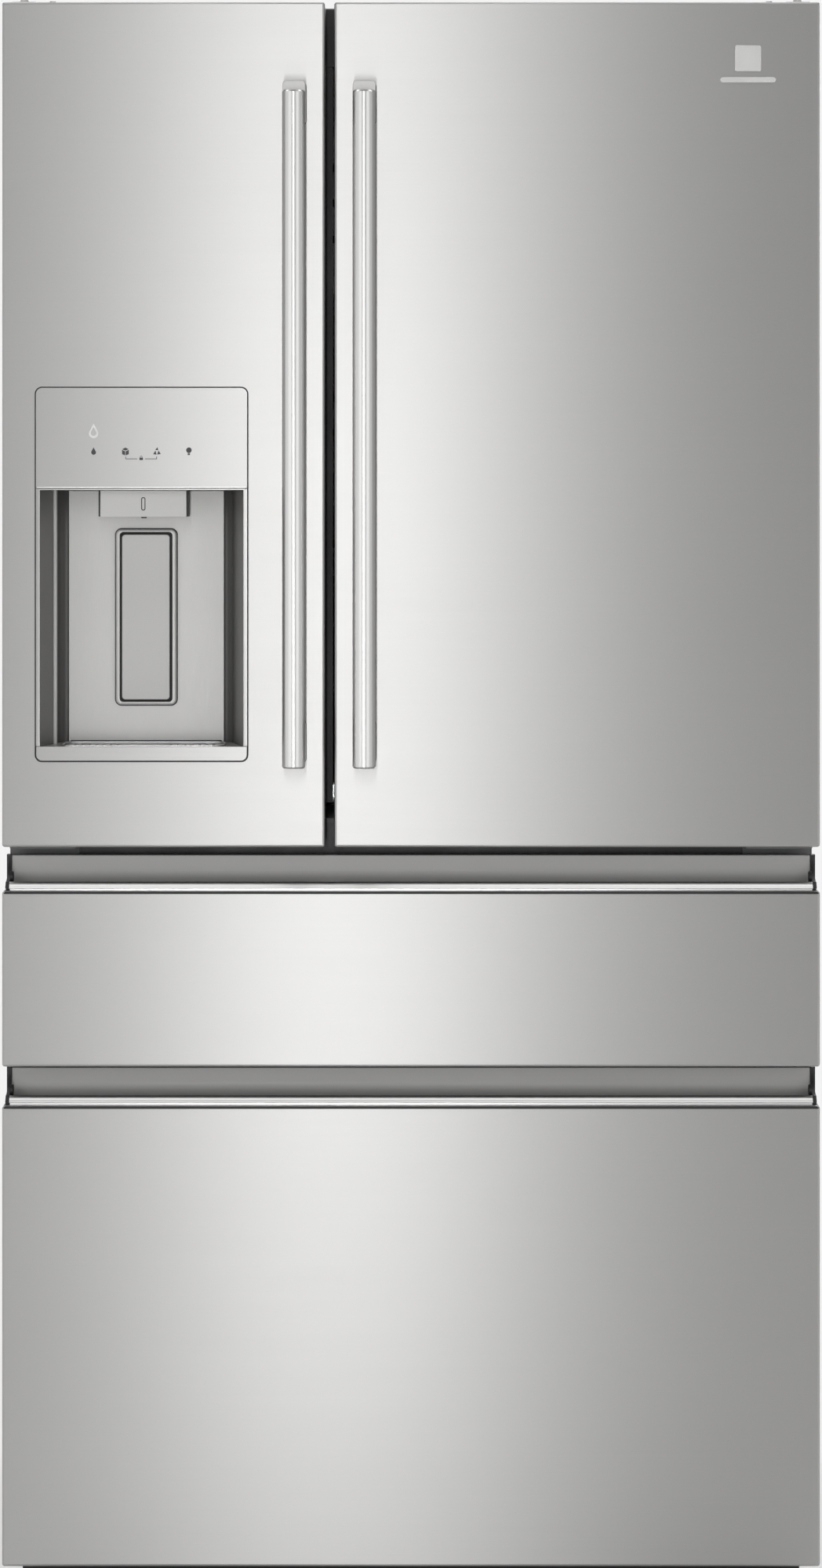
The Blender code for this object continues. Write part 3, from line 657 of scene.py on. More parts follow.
PANEL_LOW, PANEL_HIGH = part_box("dispenser_panel")
CHUTE_LOW, CHUTE_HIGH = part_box("dispenser_chute")
TRAY_LOW, TRAY_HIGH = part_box("drip_tray")
PADDLE_LOW, PADDLE_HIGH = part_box("dispenser_paddle")
RECESS_X = (FRAME_X[0] + FRAME_X[1]) / 2
WALL = 0.002
RECESS_Z = (TRAY_LOW.z + 0.008, CHUTE_HIGH.z + 0.0003)
MOUTH, BEND, BACK = 0.1135, 0.0996, 0.0856
CORNER_DEPTH, BACK_DEPTH = 0.078, 0.095


def recess(front, amount=0.0, steps=14):
    """The recess in plan: side walls that close in, round rear corners and a flat back."""
    bend, back = BEND + amount, BACK + amount
    corner, end = CORNER_DEPTH + amount, BACK_DEPTH + amount
    start = MOUTH + amount + (bend - MOUTH - amount) * front / corner
    turns = [math.radians(90 * step / steps) for step in range(steps + 1)]
    curve = [(bend + (back - bend) * (1 - math.cos(a)), corner + (end - corner) * math.sin(a)) for a in turns]
    right = [(start, front), *curve]
    left = [(-half, depth) for half, depth in reversed(right)]
    return [(RECESS_X + half, FRONT_Y + depth) for half, depth in right + left]


def add_housing():
    """The moulded housing: a thin face, the recess behind it, and a raised frame round the paddle."""
    top = PANEL_LOW.z - FIT
    foot = TRAY_HIGH.z + FIT
    left, right = FRAME_X
    arch = [
        (left, foot), (RECESS_X - MOUTH, foot), (RECESS_X - MOUTH, RECESS_Z[1]), (RECESS_X + MOUTH, RECESS_Z[1]),
        (RECESS_X + MOUTH, foot), (right, foot), (right, top), (left, top),
    ]
    face = plate("Y", [arch], (FRONT_Y, FRONT_Y + 0.0118), 0.0004)
    outer = plate("Z", [recess(0.001, WALL)], inset(RECESS_Z, -WALL))
    inner = plate("Z", [recess(-0.01)], RECESS_Z)
    shell = carve(outer, inner)
    # Painted shade: the dark finish of the recess walls stands in for the shade inside the recess.
    piece(shell, "recess_shell", "recess_plastic", "left_door", "recess_plastic", "dispenser_housing")
    back_y = FRONT_Y + BACK_DEPTH
    half = BACK + 0.0026
    panel_z = (TRAY_HIGH.z + 0.0002, RECESS_Z[1] - 0.0004)
    panel = slab("Y", around(RECESS_X, half), panel_z, 0.0006, (back_y - 0.0030, back_y - 0.0004), 0.0006, corner=2)
    raised_x, raised_z = around(RECESS_X, 0.0344), (0.9896, 1.1890)
    raised = slab("Y", raised_x, raised_z, 0.0065, (back_y - 0.0105, back_y - 0.0006), 0.0022, 4, corner=10)
    # Painted shadow: a dark rubber ring at the foot of the raised frame stands in for the shadow round it.
    joint = [rounded(inset(raised_x, -0.0013), inset(raised_z, -0.0013), 0.0078, 10),
             rounded(inset(raised_x, -0.0001), inset(raised_z, -0.0001), 0.0066, 10)]
    shadow_gap = plate("Y", joint, (back_y - 0.0036, back_y - 0.0028), 0.0002)
    piece(shadow_gap, "paddle_frame_shadow_ring", "seal_rubber", "left_door", "dark_plastic")
    well_x = (PADDLE_LOW.x - 0.0030, PADDLE_HIGH.x + 0.0030)
    well_z = (PADDLE_LOW.z - 0.0030, PADDLE_HIGH.z + 0.0030)
    well = slab("Y", well_x, well_z, 0.0042, (back_y - 0.03, back_y + 0.01))
    panel = carve(join(panel, raised), well)
    piece(panel, "recess_back", "recess_back", "left_door", "recess_plastic")
    piece(face, "recess_face", "panel_grey", "left_door")
    rim = [rounded(FRAME_X, (FRAME_Z[0], top), (FRAME_CORNER, FRAME_CORNER, 0.0, 0.0)),
           rounded(inset(FRAME_X, 0.0004), inset((FRAME_Z[0], top), 0.0004), 0.0066)]
    collar = plate("Y", rim, behind_front(0.0035, 0.0118))
    piece(collar, "recess_collar", "dark_plastic", "left_door")
    liner_x = (PADDLE_LOW.x - 0.0028, PADDLE_HIGH.x + 0.0028)
    liner = slab("Y", liner_x, inset(well_z, 0.0002), 0.004, (back_y - 0.0005, back_y - 0.0001))
    piece(liner, "paddle_well", "dark_plastic", "left_door")


def add_dispenser_panel():
    """The control plate and a bright strip under it."""
    face_x = FRAME_X
    outline = rounded(face_x, (PANEL_LOW.z, PANEL_HIGH.z), (0.0004, 0.0004, FRAME_CORNER, FRAME_CORNER))
    panel = plate("Y", [outline], (PANEL_LOW.y, PANEL_HIGH.y), 0.0004)
    piece(panel, "control_panel", "panel_grey", "left_door", "panel_grey", "dispenser_panel")
    strip = slab("Y", inset(face_x, 0.001), (PANEL_LOW.z + 0.0004, PANEL_LOW.z + 0.0016), 0.0005,
                 behind_front(-0.0005, 0.002), 0.0003)
    piece(strip, "control_panel_strip", "lip_steel", "left_door", "grey_trim")


add_housing()
add_dispenser_panel()


MARK_SIZE = 1.35
MARK_FRONT = FRONT_Y - 0.00012
MARK_SPAN = (MARK_FRONT, FRONT_Y + 0.0003)


def drop(centre, height, steps=12):
    """The outline of a falling drop."""
    radius = height * 0.32
    low = (centre[0], centre[1] - height / 2 + radius)
    points = arc(low, radius, 155, 385, steps)
    return [*points, (centre[0], centre[1] + height / 2)]


def glyph(name, centre, *outlines, size=MARK_SIZE):
    """A small dark mark of a few flat shapes, each given about the mark's own centre in millimetres."""
    shapes = []
    for group in outlines:
        rings = group if isinstance(group[0], list) else [group]
        rings = [placed(*centre, [(x * size / 1000, z * size / 1000) for x, z in ring]) for ring in rings]
        shapes.append(plate("Y", rings, MARK_SPAN))
    piece(merged(*shapes), name, "mark_dark", "left_door", "panel_grey")


def add_marks():
    """Plain pictograms: drop, cube, crushed pieces and lamp, with a lock between the two ice ones."""
    row_z = PANEL_LOW.z + 0.0415
    across = {"drop": 0.0645, "cube": 0.1000, "pieces": 0.1352, "lamp": 0.1708}
    spot = {name: (FRAME_X[0] + x, row_z) for name, x in across.items()}
    big = (spot["drop"][0], PANEL_LOW.z + 0.0640)
    body = drop(big, 0.0165)
    low = big[1] - 0.0014
    hollow = [(big[0] + (x - big[0]) * 0.60, low + (z - low) * 0.60) for x, z in body]
    mark = plate("Y", [body, hollow], MARK_SPAN)
    piece(mark, "mark_water", "mark_white", "left_door", "panel_grey")
    glyph("mark_drop", spot["drop"], drop((0, 0), 6.2))
    glyph(
        "mark_cube", spot["cube"],
        [(-2.8, -2.6), (-0.2, -3.6), (-0.2, -0.2), (-2.8, 1.0)],
        [(0.2, -3.6), (2.8, -2.6), (2.8, 1.0), (0.2, -0.2)],
        [(0, 0.3), (2.7, 1.5), (0, 2.9), (-2.7, 1.5)],
    )
    glyph(
        "mark_pieces", spot["pieces"],
        [(-3.2, -2.6), (-0.3, -3.0), (-1.2, 0.5)],
        [(0.1, -2.9), (3.2, -2.5), (1.3, 0.4)],
        [(-1.4, 1.0), (1.1, 0.6), (0.4, 3.2)],
    )
    glyph("mark_lamp", spot["lamp"], circle((0, 0.7), 2.3, 24), rounded((-1.0, 1.0), (-3.3, -1.9), 0.3, 3))
    lock = ((spot["cube"][0] + spot["pieces"][0]) / 2, row_z - 0.0085)
    reach = (spot["pieces"][0] - spot["cube"][0]) * 500
    bow = [(-1.3, 1.1), (1.3, 1.1), *arc((0, 1.9), 1.3, 0, 180, 8)]
    hollow = [(-0.7, 1.2), (0.7, 1.2), *arc((0, 1.9), 0.7, 0, 180, 8)]
    shapes = [rounded((-2.0, 2.0), (-1.6, 1.1), 0.3, 3), [bow, hollow]]
    for side in (-1, 1):
        line = sorted((side * 4.2, side * reach))
        tick = sorted((side * reach, side * (reach - 0.7)))
        shapes.append(rounded(line, (-0.6, 0.1), 0.2, 2))
        shapes.append(rounded(tick, (0.12, 2.4), 0.1, 2))
    glyph("mark_lock", lock, *shapes, size=1.0)


add_marks()


def add_chute():
    """The spout block under the panel, with a narrow window and the ice mouth and water nozzle below."""
    x = (CHUTE_LOW.x, CHUTE_HIGH.x)
    z = (CHUTE_LOW.z, CHUTE_HIGH.z)
    y = (CHUTE_LOW.y, CHUTE_HIGH.y)
    body = slab("Y", x, z, (0.0016, 0.0016, 0.0002, 0.0002), y, 0.0005)
    middle = sum(x) / 2
    outer_pill = rounded(around(middle, 0.0024), (1.2106, 1.2256), 0.0022)
    inner_pill = rounded(around(middle, 0.0014), (1.2116, 1.2246), 0.0013)
    slot = plate("Y", [outer_pill], (y[0] - 0.01, y[0] + 0.0020))
    mouth = slab("Z", inset(x, 0.018), inset(y, 0.007), 0.009, (z[0] - 0.01, z[0] + 0.006))
    body = carve(body, slot, mouth)
    piece(body, "spout_block", "spout_grey", "left_door", "grey_trim", "dispenser_chute")
    edge = plate("Y", [outer_pill, inner_pill], (y[0] + 0.0001, y[0] + 0.0019))
    piece(edge, "spout_window_edge", "dark_plastic", "left_door")
    window = plate("Y", [inner_pill], (y[0] + 0.0001, y[0] + 0.0019), 0.0002)
    piece(window, "spout_window", "spout_grey", "left_door", "grey_trim")
    # Painted shadow: thin near-black plates along both sides of the spout block stand in for the shadow lines at its
    # sides.
    for (side, name), edge_x in zip(SIDES, x):
        flank_x = sorted((edge_x + side * 0.0002, edge_x + side * 0.0018))
        flank = slab("Y", flank_x, (z[0] + 0.0004, z[1] - 0.0002), 0.0004, (y[0] + 0.0006, y[1]), 0.0003, corner=2)
        piece(flank, f"spout_shadow_line_{name}", "dark_plastic", "left_door")
    nozzle = lathe("Z", ((middle, y[0] + 0.0125, z[0] - 0.0002)),
                   [(0.0021, 0.012), (0.0034, 0.012), (0.0034, 0.0004), (0.0028, -0.0012), (0.0021, -0.0012)], 24)
    piece(nozzle, "water_nozzle", "dark_plastic", "left_door")


add_chute()


def add_tray():
    """The front lip, and a shallow tray with a raised grille behind it."""
    lip_x = inset(FRAME_X, 0.0003)
    lip_z = (TRAY_LOW.z, TRAY_HIGH.z)
    lip = slab("Y", lip_x, lip_z, (0.0067, 0.0067, 0.0006, 0.0006), (FRONT_Y, FRONT_Y + 0.004), 0.0006, 3)
    piece(lip, "tray_lip", "panel_grey", "left_door", "grey_trim", "drip_tray")
    top = lip_z[1]
    floor = plate("Z", [recess(0.0042, -0.0006)], (RECESS_Z[0] + 0.0003, top - 0.0002), 0.0002)
    back_y = FRONT_Y + BACK_DEPTH
    well_y = (FRONT_Y + 0.010, back_y - 0.012)
    well = slab("Z", around(RECESS_X, 0.090), well_y, 0.012, (top - 0.0042, top + 0.01))
    floor = carve(floor, well)
    piece(floor, "tray_body", "tray_grey", "left_door", "grey_trim")
    # Painted shade: a dark strip where the tray meets the back wall stands in for the shade in that crease.
    rear = block((RECESS_X - BACK, back_y - 0.0052, top - 0.0003), (RECESS_X + BACK, back_y - 0.0040, top + 0.0020),
                 0.0003, 1)
    piece(rear, "tray_rear_shade_strip", "dark_plastic", "left_door")
    rim = [rounded(around(RECESS_X, 0.0925), (well_y[0] - 0.0025, well_y[1] + 0.0025), 0.0145),
           rounded(around(RECESS_X, 0.0898), (well_y[0] + 0.0002, well_y[1] - 0.0002), 0.0118)]
    piece(plate("Z", rim, (top - 0.0008, top + 0.0010), 0.0004), "tray_rim", "lip_steel", "left_door", "grey_trim")
    cover_x = around(RECESS_X, 0.0885)
    slots = []
    for side in (-1, 1):
        for step in range(7):
            x = RECESS_X + side * (0.030 + 0.008 * step)
            slots.append(rounded(around(x, 0.0014), (well_y[0] + 0.012, well_y[1] - 0.012), 0.0013, 4))
    grille = plate("Z", [rounded(cover_x, (well_y[0] + 0.0015, well_y[1] - 0.0015), 0.0105), *slots],
                   (top - 0.0030, top - 0.0012), 0.0003, 1)
    piece(grille, "tray_grille", "tray_grey", "left_door", "grey_trim")


add_tray()


def add_paddle():
    """The push paddle: a flat plate with soft edges."""
    x = (PADDLE_LOW.x, PADDLE_HIGH.x)
    z = (PADDLE_LOW.z, PADDLE_HIGH.z)
    plate_face = slab("Y", x, z, 0.0038, (PADDLE_LOW.y, PADDLE_HIGH.y), 0.0009, 3)
    piece(plate_face, "push_paddle", "spout_grey", "dispenser_paddle", "grey_trim", "dispenser_paddle")


add_paddle()


# Scooped grips on the drawers


GRIP_LIP = {"upper": 0.7884, "lower": 0.5494}
GRIP_TOP = 0.0346
GRIP_END = 0.004


def add_grip(level):
    """A full-width trough behind a sloping bright lip, with dark caps and bosses at its ends."""
    body = f"{level}_drawer"
    node = f"{body}_grip"
    low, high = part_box(node)
    front, lip, top, foot, back = FRONT_Y, GRIP_LIP[level], high.z, low.z, high.y
    inner = (low.x + GRIP_END + FIT, high.x - GRIP_END - FIT)
    centre = (front + 0.0150, lip + 0.0196)
    hollow = arc(centre, 0.0260, -90, 0, 24)
    wall = [
        *placed(front, lip, [(0.0126, -0.0060), (0.0138, -0.0055)]),
        *hollow[1:],
        (front + 0.0414, top - 0.0008),
        (front + 0.0424, top),
        (back, top),
        (back, foot),
        (front + 0.0126, foot),
    ]
    piece(plate("X", [wall], inner), f"{body}_trough", "groove_steel", body, "grey_trim", node)
    bright = [
        *placed(front, lip, [(0.0022, 0.0), (0.0024, 0.0007)]),
        *arc((front + 0.0140, lip - 0.0040), 0.0121, 152, 112, 10),
        *placed(front, lip, [(0.0104, 0.0067), (0.0112, 0.0058), (0.0124, -0.0040)]),
        (front + 0.0124, foot + 0.0002),
        (front + 0.0114, foot + 0.0002),
        (front + 0.0114, lip),
    ]
    piece(plate("X", [bright], inner), f"{body}_lip", "lip_steel", body, "grey_trim")
    end = [
        *placed(front, lip, [(0.0022, 0.0), (0.0028, 0.0014), (0.0085, 0.0072)]),
        *[(front + 0.010 + 0.030 * math.sin(a), lip + GRIP_TOP - 0.0274 * math.cos(a))
          for a in (math.radians(7.5 * step) for step in range(13))],
        (front + 0.0424, top),
        (back, top),
        (back, foot),
        (front + 0.0124, foot),
        (front + 0.0124, lip),
    ]
    for side, name in SIDES:
        edge = low.x if side < 0 else high.x
        span = sorted((edge, edge - side * GRIP_END))
        cap = plate("X", [end], span, 0.0003, 1)
        piece(cap, f"{body}_grip_cap_{name}", "dark_plastic", body)
        seat = (edge - side * (GRIP_END + 0.0002), front + 0.024, lip + 0.0115)
        profile = [(0.0062, 0.0), (0.0062, 0.0026), (0.0054, 0.0034), (0.0022, 0.0036), (0.0016, 0.0026),
                   (0.0004, 0.0026)]
        boss = lathe("X", (0, 0, 0), profile, 28)
        if side > 0:
            mirror_x(boss)
        piece(moved(boss, *seat), f"{body}_grip_boss_{name}", "dark_plastic", body)


add_grip("upper")
add_grip("lower")


# Small parts


def add_screws(name, places):
    """Cross-slot screw heads that face the back, at several places, as one piece."""
    profile = [(0.0040, 0.0), (0.0040, 0.0004), (0.0034, 0.0011), (0.0022, 0.0016), (0.0008, 0.0017)]
    head = lathe("Z", (0, 0, 0), profile, 24)
    source = carve(
        head,
        block((-0.0021, -0.0004, 0.0009), (0.0021, 0.0004, 0.003)),
        block((-0.0004, -0.0021, 0.0008), (0.0004, 0.0021, 0.003)),
    )
    turn = Vector((0, 1, 0)).to_track_quat("Z", "Y").to_matrix().to_4x4()
    bm = bmesh.new()
    for place in places:
        start = len(bm.verts)
        bm.from_mesh(source.data)
        bm.verts.ensure_lookup_table()
        bmesh.ops.transform(bm, matrix=Matrix.Translation(place) @ turn, verts=bm.verts[start:])
    bm.to_mesh(source.data)
    bm.free()
    piece(source, name, "screw_steel", "cabinet", "galvanised")


def frame_plate(axis, outer, width, span, edge, radius=0.006):
    """A flat ring of one width."""
    inner = tuple(inset(pair, width) for pair in outer)
    return plate(axis, [rounded(*outer, radius), rounded(*inner, max(radius - width, 0.001))], span, edge, 2)


# Badge, flap guide and rails between the openings


def add_badge():
    """A plain square badge and a plain bar under it, with nothing on them."""
    span = behind_front(-0.0010, 0.0002)
    square = slab("Y", (0.3615, 0.3905), (1.7010, 1.7300), 0.0022, span, 0.0004)
    piece(square, "badge_square", "badge_steel", "right_door", "polished_steel")
    bar = slab("Y", (0.3450, 0.4070), (1.6885, 1.6945), 0.0030, span, 0.0004)
    piece(bar, "badge_bar", "badge_steel", "right_door", "polished_steel")


def add_front_rails():
    """Painted steel strips over the fronts of the two partitions, their near black standing in for the shade under
    the doors (painted shade), and the guide that folds the flap.
    """
    for level in ("upper", "lower"):
        low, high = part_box(f"partition_{level}")
        strip = slab("Y", inset((low.x, high.x), 0.0002), (low.z, high.z), 0.0005, (FRONT_Y + 0.0722, low.y - 0.0002),
                     0.0003, corner=2)
        # Painted shade: black paint on these strips stands in for the shade they sit in under the doors.
        piece(strip, f"front_rail_{level}", "black_paint", "cabinet", "grey_paint")
    cover = slab("Y", (-0.1080, -0.0650), (1.7126, 1.7770), 0.003, behind_front(0.0716, 0.0719), 0.0001)
    piece(cover, "flap_guide_cover", "dark_plastic")


add_badge()
add_front_rails()


# Inside


LINER_DEPTH = 0.672
OUTLET_Z = (1.115, 1.160, 1.300, 1.345, 1.545, 1.590, 1.635)


def add_shelf_trims():
    """White edge strips with a bright band on the glass shelves, and the ledges that carry them."""
    for node in ("shelf_upper", "shelf_lower", "crisper_cover"):
        low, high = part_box(node)
        trim = slab("X", (low.y - 0.0012, low.y + 0.0150), (low.z - 0.0035, high.z + 0.0020), 0.003,
                    inset((low.x, high.x), 0.0004), 0.0006, corner=4)
        groove = block((low.x, low.y + 0.004, low.z - 0.0002), (high.x, low.y + 0.03, high.z + 0.0002))
        piece(carve(trim, groove), f"{node}_trim", "white_liner")
        band = slab("X", (low.y - 0.0017, low.y - 0.0008), (low.z + 0.001, high.z - 0.002), 0.0004,
                    inset((low.x, high.x), 0.006), corner=3)
        piece(band, f"{node}_band", "badge_steel", "cabinet", "polished_steel")
        for side, name in SIDES:
            edge = low.x if side < 0 else high.x
            span = sorted((edge, edge - side * 0.010))
            ledge = slab("X", (low.y + 0.020, high.y - 0.004), (low.z - 0.0055, low.z - 0.0003), 0.0020, span, 0.0008,
                         corner=4)
            piece(ledge, f"{node}_ledge_{name}", "white_liner")


def add_air_duct():
    """The cover over the cold air duct on the back wall, with outlet slots, and the lamp in the ceiling."""
    back_y = FRONT_Y + LINER_DEPTH
    slots = []
    for z in OUTLET_Z:
        for side in (-1, 1):
            x = sorted((side * 0.022, side * 0.128))
            slots.append(rounded(x, (z, z + 0.010), 0.0045, 5))
    duct = plate("Y", [rounded((-0.165, 0.165), (1.040, 1.700), 0.018), *slots], (back_y - 0.014, back_y - 0.0004),
                 0.002, 3)
    piece(duct, "air_duct_cover", "white_liner")
    behind = slab("Y", (-0.150, 0.150), (1.055, 1.685), 0.010, (back_y - 0.0030, back_y - 0.0006))
    piece(behind, "air_duct_screen", "dark_plastic")
    spine = slab("Y", (-0.007, 0.007), (1.060, 1.680), 0.006, (back_y - 0.017, back_y - 0.0135), 0.0015, 3)
    piece(spine, "air_duct_spine", "white_liner")
    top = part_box("shelf_upper")[0].z + 0.280
    base = slab("Z", (-0.060, 0.320), behind_front(0.215, 0.285), 0.010, (top - 0.006, top - 0.0003), 0.001)
    piece(base, "lamp_base", "white_liner")
    lens = slab("Z", (-0.052, 0.312), behind_front(0.222, 0.278), 0.008, (top - 0.0095, top - 0.0055), 0.0015)
    piece(lens, "lamp_lens", "lens", "cabinet", "clear_plastic")


def add_crisper_fronts():
    """A white pull along the top of each crisper's front, and ribs under it."""
    for side in ("left", "right"):
        body = f"crisper_{side}"
        low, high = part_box(body)
        x = inset((low.x, high.x), 0.006)
        pull = placed(low.y, high.z, [
            (-0.0105, -0.0040), (-0.0085, -0.0010), (0.0040, -0.0010), (0.0040, -0.0034), (-0.0002, -0.0034),
            (-0.0002, -0.0240), (-0.0022, -0.0240), (-0.0030, -0.0060), (-0.0080, -0.0052), (-0.0085, -0.0140),
            (-0.0105, -0.0140),
        ])
        piece(plate("X", [pull], x), f"{body}_pull", "white_liner", body)
        for index in range(3):
            z = low.z + 0.022 + 0.030 * index
            rib = slab("X", (low.y - 0.0012, low.y + 0.0004), (z, z + 0.004), 0.0007, inset(x, 0.02), corner=3)
            piece(rib, f"{body}_rib_{index}", "clear_plastic", body)


def add_bin_rims():
    """Round white rims and bases on the door bins."""
    for node, body in (("left_door_bin", "left_door"), ("right_door_bin_upper", "right_door"),
                       ("right_door_bin_lower", "right_door")):
        low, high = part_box(node)
        outer = ((low.x - 0.0008, high.x + 0.0008), (low.y + 0.0002, high.y + 0.0008))
        rim = frame_plate("Z", outer, 0.0055, (high.z - 0.009, high.z + 0.0012), 0.0012, 0.008)
        piece(rim, f"{node}_rim", "white_liner", body)
        base = slab("Z", *outer, 0.008, (low.z - 0.0006, low.z + 0.0105), 0.0015)
        piece(base, f"{node}_base", "white_liner", body)


def add_drawer_rims():
    """A white rim round the top of each drawer bin, and a divider across the upper one."""
    for level in ("upper", "lower"):
        node, body = f"{level}_drawer_bin", f"{level}_drawer"
        low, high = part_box(node)
        outer = ((low.x - 0.0002, high.x + 0.0002), (low.y - 0.0002, high.y + 0.0002))
        rim = frame_plate("Z", outer, 0.0050, (high.z - 0.0080, high.z + 0.0006), 0.0009, 0.006)
        piece(rim, f"{node}_rim", "white_liner", body)
    low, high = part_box("upper_drawer_bin")
    span = (-0.0014, 0.0014)
    outline = rounded((low.y + 0.006, high.y - 0.006), (low.z + 0.006, high.z - 0.012), 0.004)
    piece(plate("X", [outline], span, 0.0004), "upper_drawer_divider", "clear_plastic", "upper_drawer")


def add_door_borders():
    """The raised border of each door's inner moulding, and the beads pressed in the face of its gasket."""
    borders = {"left": ((-0.4040, -0.1295), (0.8800, 1.7120)), "right": ((-0.0455, 0.4040), (0.8720, 1.7240))}
    for side, outer in borders.items():
        ring = frame_plate("Y", outer, 0.0040, behind_front(0.0590, 0.0712), 0.0012, 0.012)
        piece(ring, f"{side}_door_border", "white_liner", f"{side}_door")
        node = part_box(f"{side}_door_gasket")
        x, z = (node[0].x, node[1].x), (node[0].z, node[1].z)
        for index, (inward, width) in enumerate(((0.0025, 0.0030), (0.0110, 0.0050))):
            span = (node[1].y - 0.0006, node[1].y + 0.0001)
            bead = frame_plate("Y", (inset(x, inward), inset(z, inward)), width, span, 0.0003, 0.004)
            piece(bead, f"{side}_gasket_bead_{index}", "seal_rubber", f"{side}_door")


def add_ice_maker_front():
    low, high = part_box("ice_maker")
    face = slab("Y", inset((low.x, high.x), 0.003), inset((low.z, high.z), 0.003), 0.010,
                (low.y - 0.0040, low.y - 0.0003), 0.0015, 3)
    grip = slab("Y", (low.x + 0.050, high.x - 0.050), (low.z + 0.018, low.z + 0.036), 0.008,
                (low.y - 0.01, low.y - 0.0022))
    piece(carve(face, grip), "ice_maker_front", "white_liner")
    latch = slab("Y", (low.x + 0.053, high.x - 0.053), (low.z + 0.021, low.z + 0.033), 0.005,
                 (low.y - 0.0030, low.y - 0.0020), 0.0003)
    piece(latch, "ice_maker_latch", "grey_trim")


add_shelf_trims()
add_air_duct()
add_crisper_fronts()
add_bin_rims()
add_drawer_rims()
add_door_borders()
add_ice_maker_front()


# Back, top and machine space


HINGE_X, HINGE_DEPTH = 0.4345, 0.040
TUBE_RADIUS = 0.0032


def add_back_details():
    """Pressed beads in the rear panel, its screws, those of the machine cover, and the power inlet."""
    low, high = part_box("rear_panel")
    beads = []
    for x in (-0.340, -0.170, 0.0, 0.170, 0.340):
        outline = rounded(around(x, 0.011), (low.z + 0.12, high.z - 0.12), 0.010)
        beads.append(plate("Y", [outline], (high.y - 0.0005, high.y + 0.0012), 0.0010, 3))
    border = frame_plate("Y", (inset((low.x, high.x), 0.030), inset((low.z, high.z), 0.030)), 0.009,
                         (high.y - 0.0005, high.y + 0.0009), 0.0008, 0.02)
    piece(merged(border, *beads), "rear_panel_beads", "grey_paint")
    edge_x = high.x - 0.012
    step_z = (high.z - low.z - 0.04) / 6
    places = [(side * edge_x, high.y, low.z + 0.02 + step * step_z) for side in (-1, 1) for step in range(7)]
    places += [(x, high.y, high.z - 0.012) for x in (-0.28, 0.0, 0.28)]
    add_screws("rear_panel_screws", places)
    low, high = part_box("machine_cover")
    places = [(x, high.y, z) for x in (-0.435, 0.0, 0.435) for z in (low.z + 0.012, high.z - 0.012)]
    add_screws("machine_cover_screws", places)
    frame_x, frame_z = span_of("power_inlet", 0), span_of("power_inlet", 2)
    flange = plate("Y", [rounded(inset(frame_x, -0.004), inset(frame_z, -0.004), 0.003),
                         rounded(inset(frame_x, 0.0085), inset(frame_z, 0.0055), 0.002)],
                   (high.y + 0.0001, high.y + 0.0019), 0.0005)
    piece(flange, "inlet_flange", "dark_plastic")
    pins = [block((x - 0.0022, high.y - 0.013, z - 0.0008), (x + 0.0022, high.y - 0.004, z + 0.0008), 0.0003, 1)
            for x, z in ((0.364, 0.2345), (0.3575, 0.228), (0.3705, 0.228))]
    piece(merged(*pins), "inlet_pins", "screw_steel", "cabinet", "galvanised")


def add_machine_details():
    """A condenser coil on its bracket, a terminal cover on the compressor and its copper lines."""
    y0, y1 = FRONT_Y + 0.605, FRONT_Y + 0.700
    points = []
    for row in range(6):
        z = 0.070 + 0.024 * row
        ends = (0.235, 0.325) if row % 2 == 0 else (0.325, 0.235)
        for depth in (y0, y1):
            points += [(ends[0], depth, z), (ends[1], depth, z)] if depth == y0 else [(ends[1], depth, z),
                                                                                      (ends[0], depth, z)]
        points.append((ends[0], y1, z + 0.012))
        points.append((ends[0], y0, z + 0.012))
    piece(tube(points, TUBE_RADIUS, 4), "condenser_coil", "black_paint", "cabinet", "dark_plastic")
    bracket = slab("X", (y0 - 0.006, y1 + 0.004), (0.0470, 0.2080), 0.004, (0.2285, 0.2300), 0.0004)
    piece(bracket, "condenser_bracket", "galvanised")
    low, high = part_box("compressor")
    middle = (low + high) / 2
    box_low = (high.x - 0.006, middle.y - 0.030, middle.z - 0.030)
    terminal = block(box_low, (high.x + 0.020, middle.y + 0.030, middle.z + 0.030), 0.006, 3)
    piece(terminal, "compressor_terminal_cover", "dark_plastic")
    for index, (depth, rise) in enumerate(((-0.020, 0.045), (0.024, 0.030))):
        start = (middle.x, middle.y + depth, high.z - 0.012)
        path = [start]
        path += [(start[0] + 0.030 * (1 - math.cos(a)), start[1], start[2] + rise * math.sin(a))
                 for a in (math.radians(12 * step) for step in range(1, 15))]
        path.append((start[0] + 0.150, start[1] + 0.004, start[2] + rise * 0.2))
        piece(tube(path, TUBE_RADIUS, 5), f"copper_line_{index}", "copper", "cabinet", "galvanised")
    seam_z = middle.z + 0.008
    radius = (high.x - low.x) / 2
    seam = lathe("Z", (middle.x, middle.y, seam_z),
                 [(radius - 0.002, -0.003), (radius + 0.0016, -0.002), (radius + 0.0016, 0.002),
                  (radius - 0.002, 0.003)], 48)
    piece(seam, "compressor_seam", "black_paint", "cabinet", "dark_plastic")


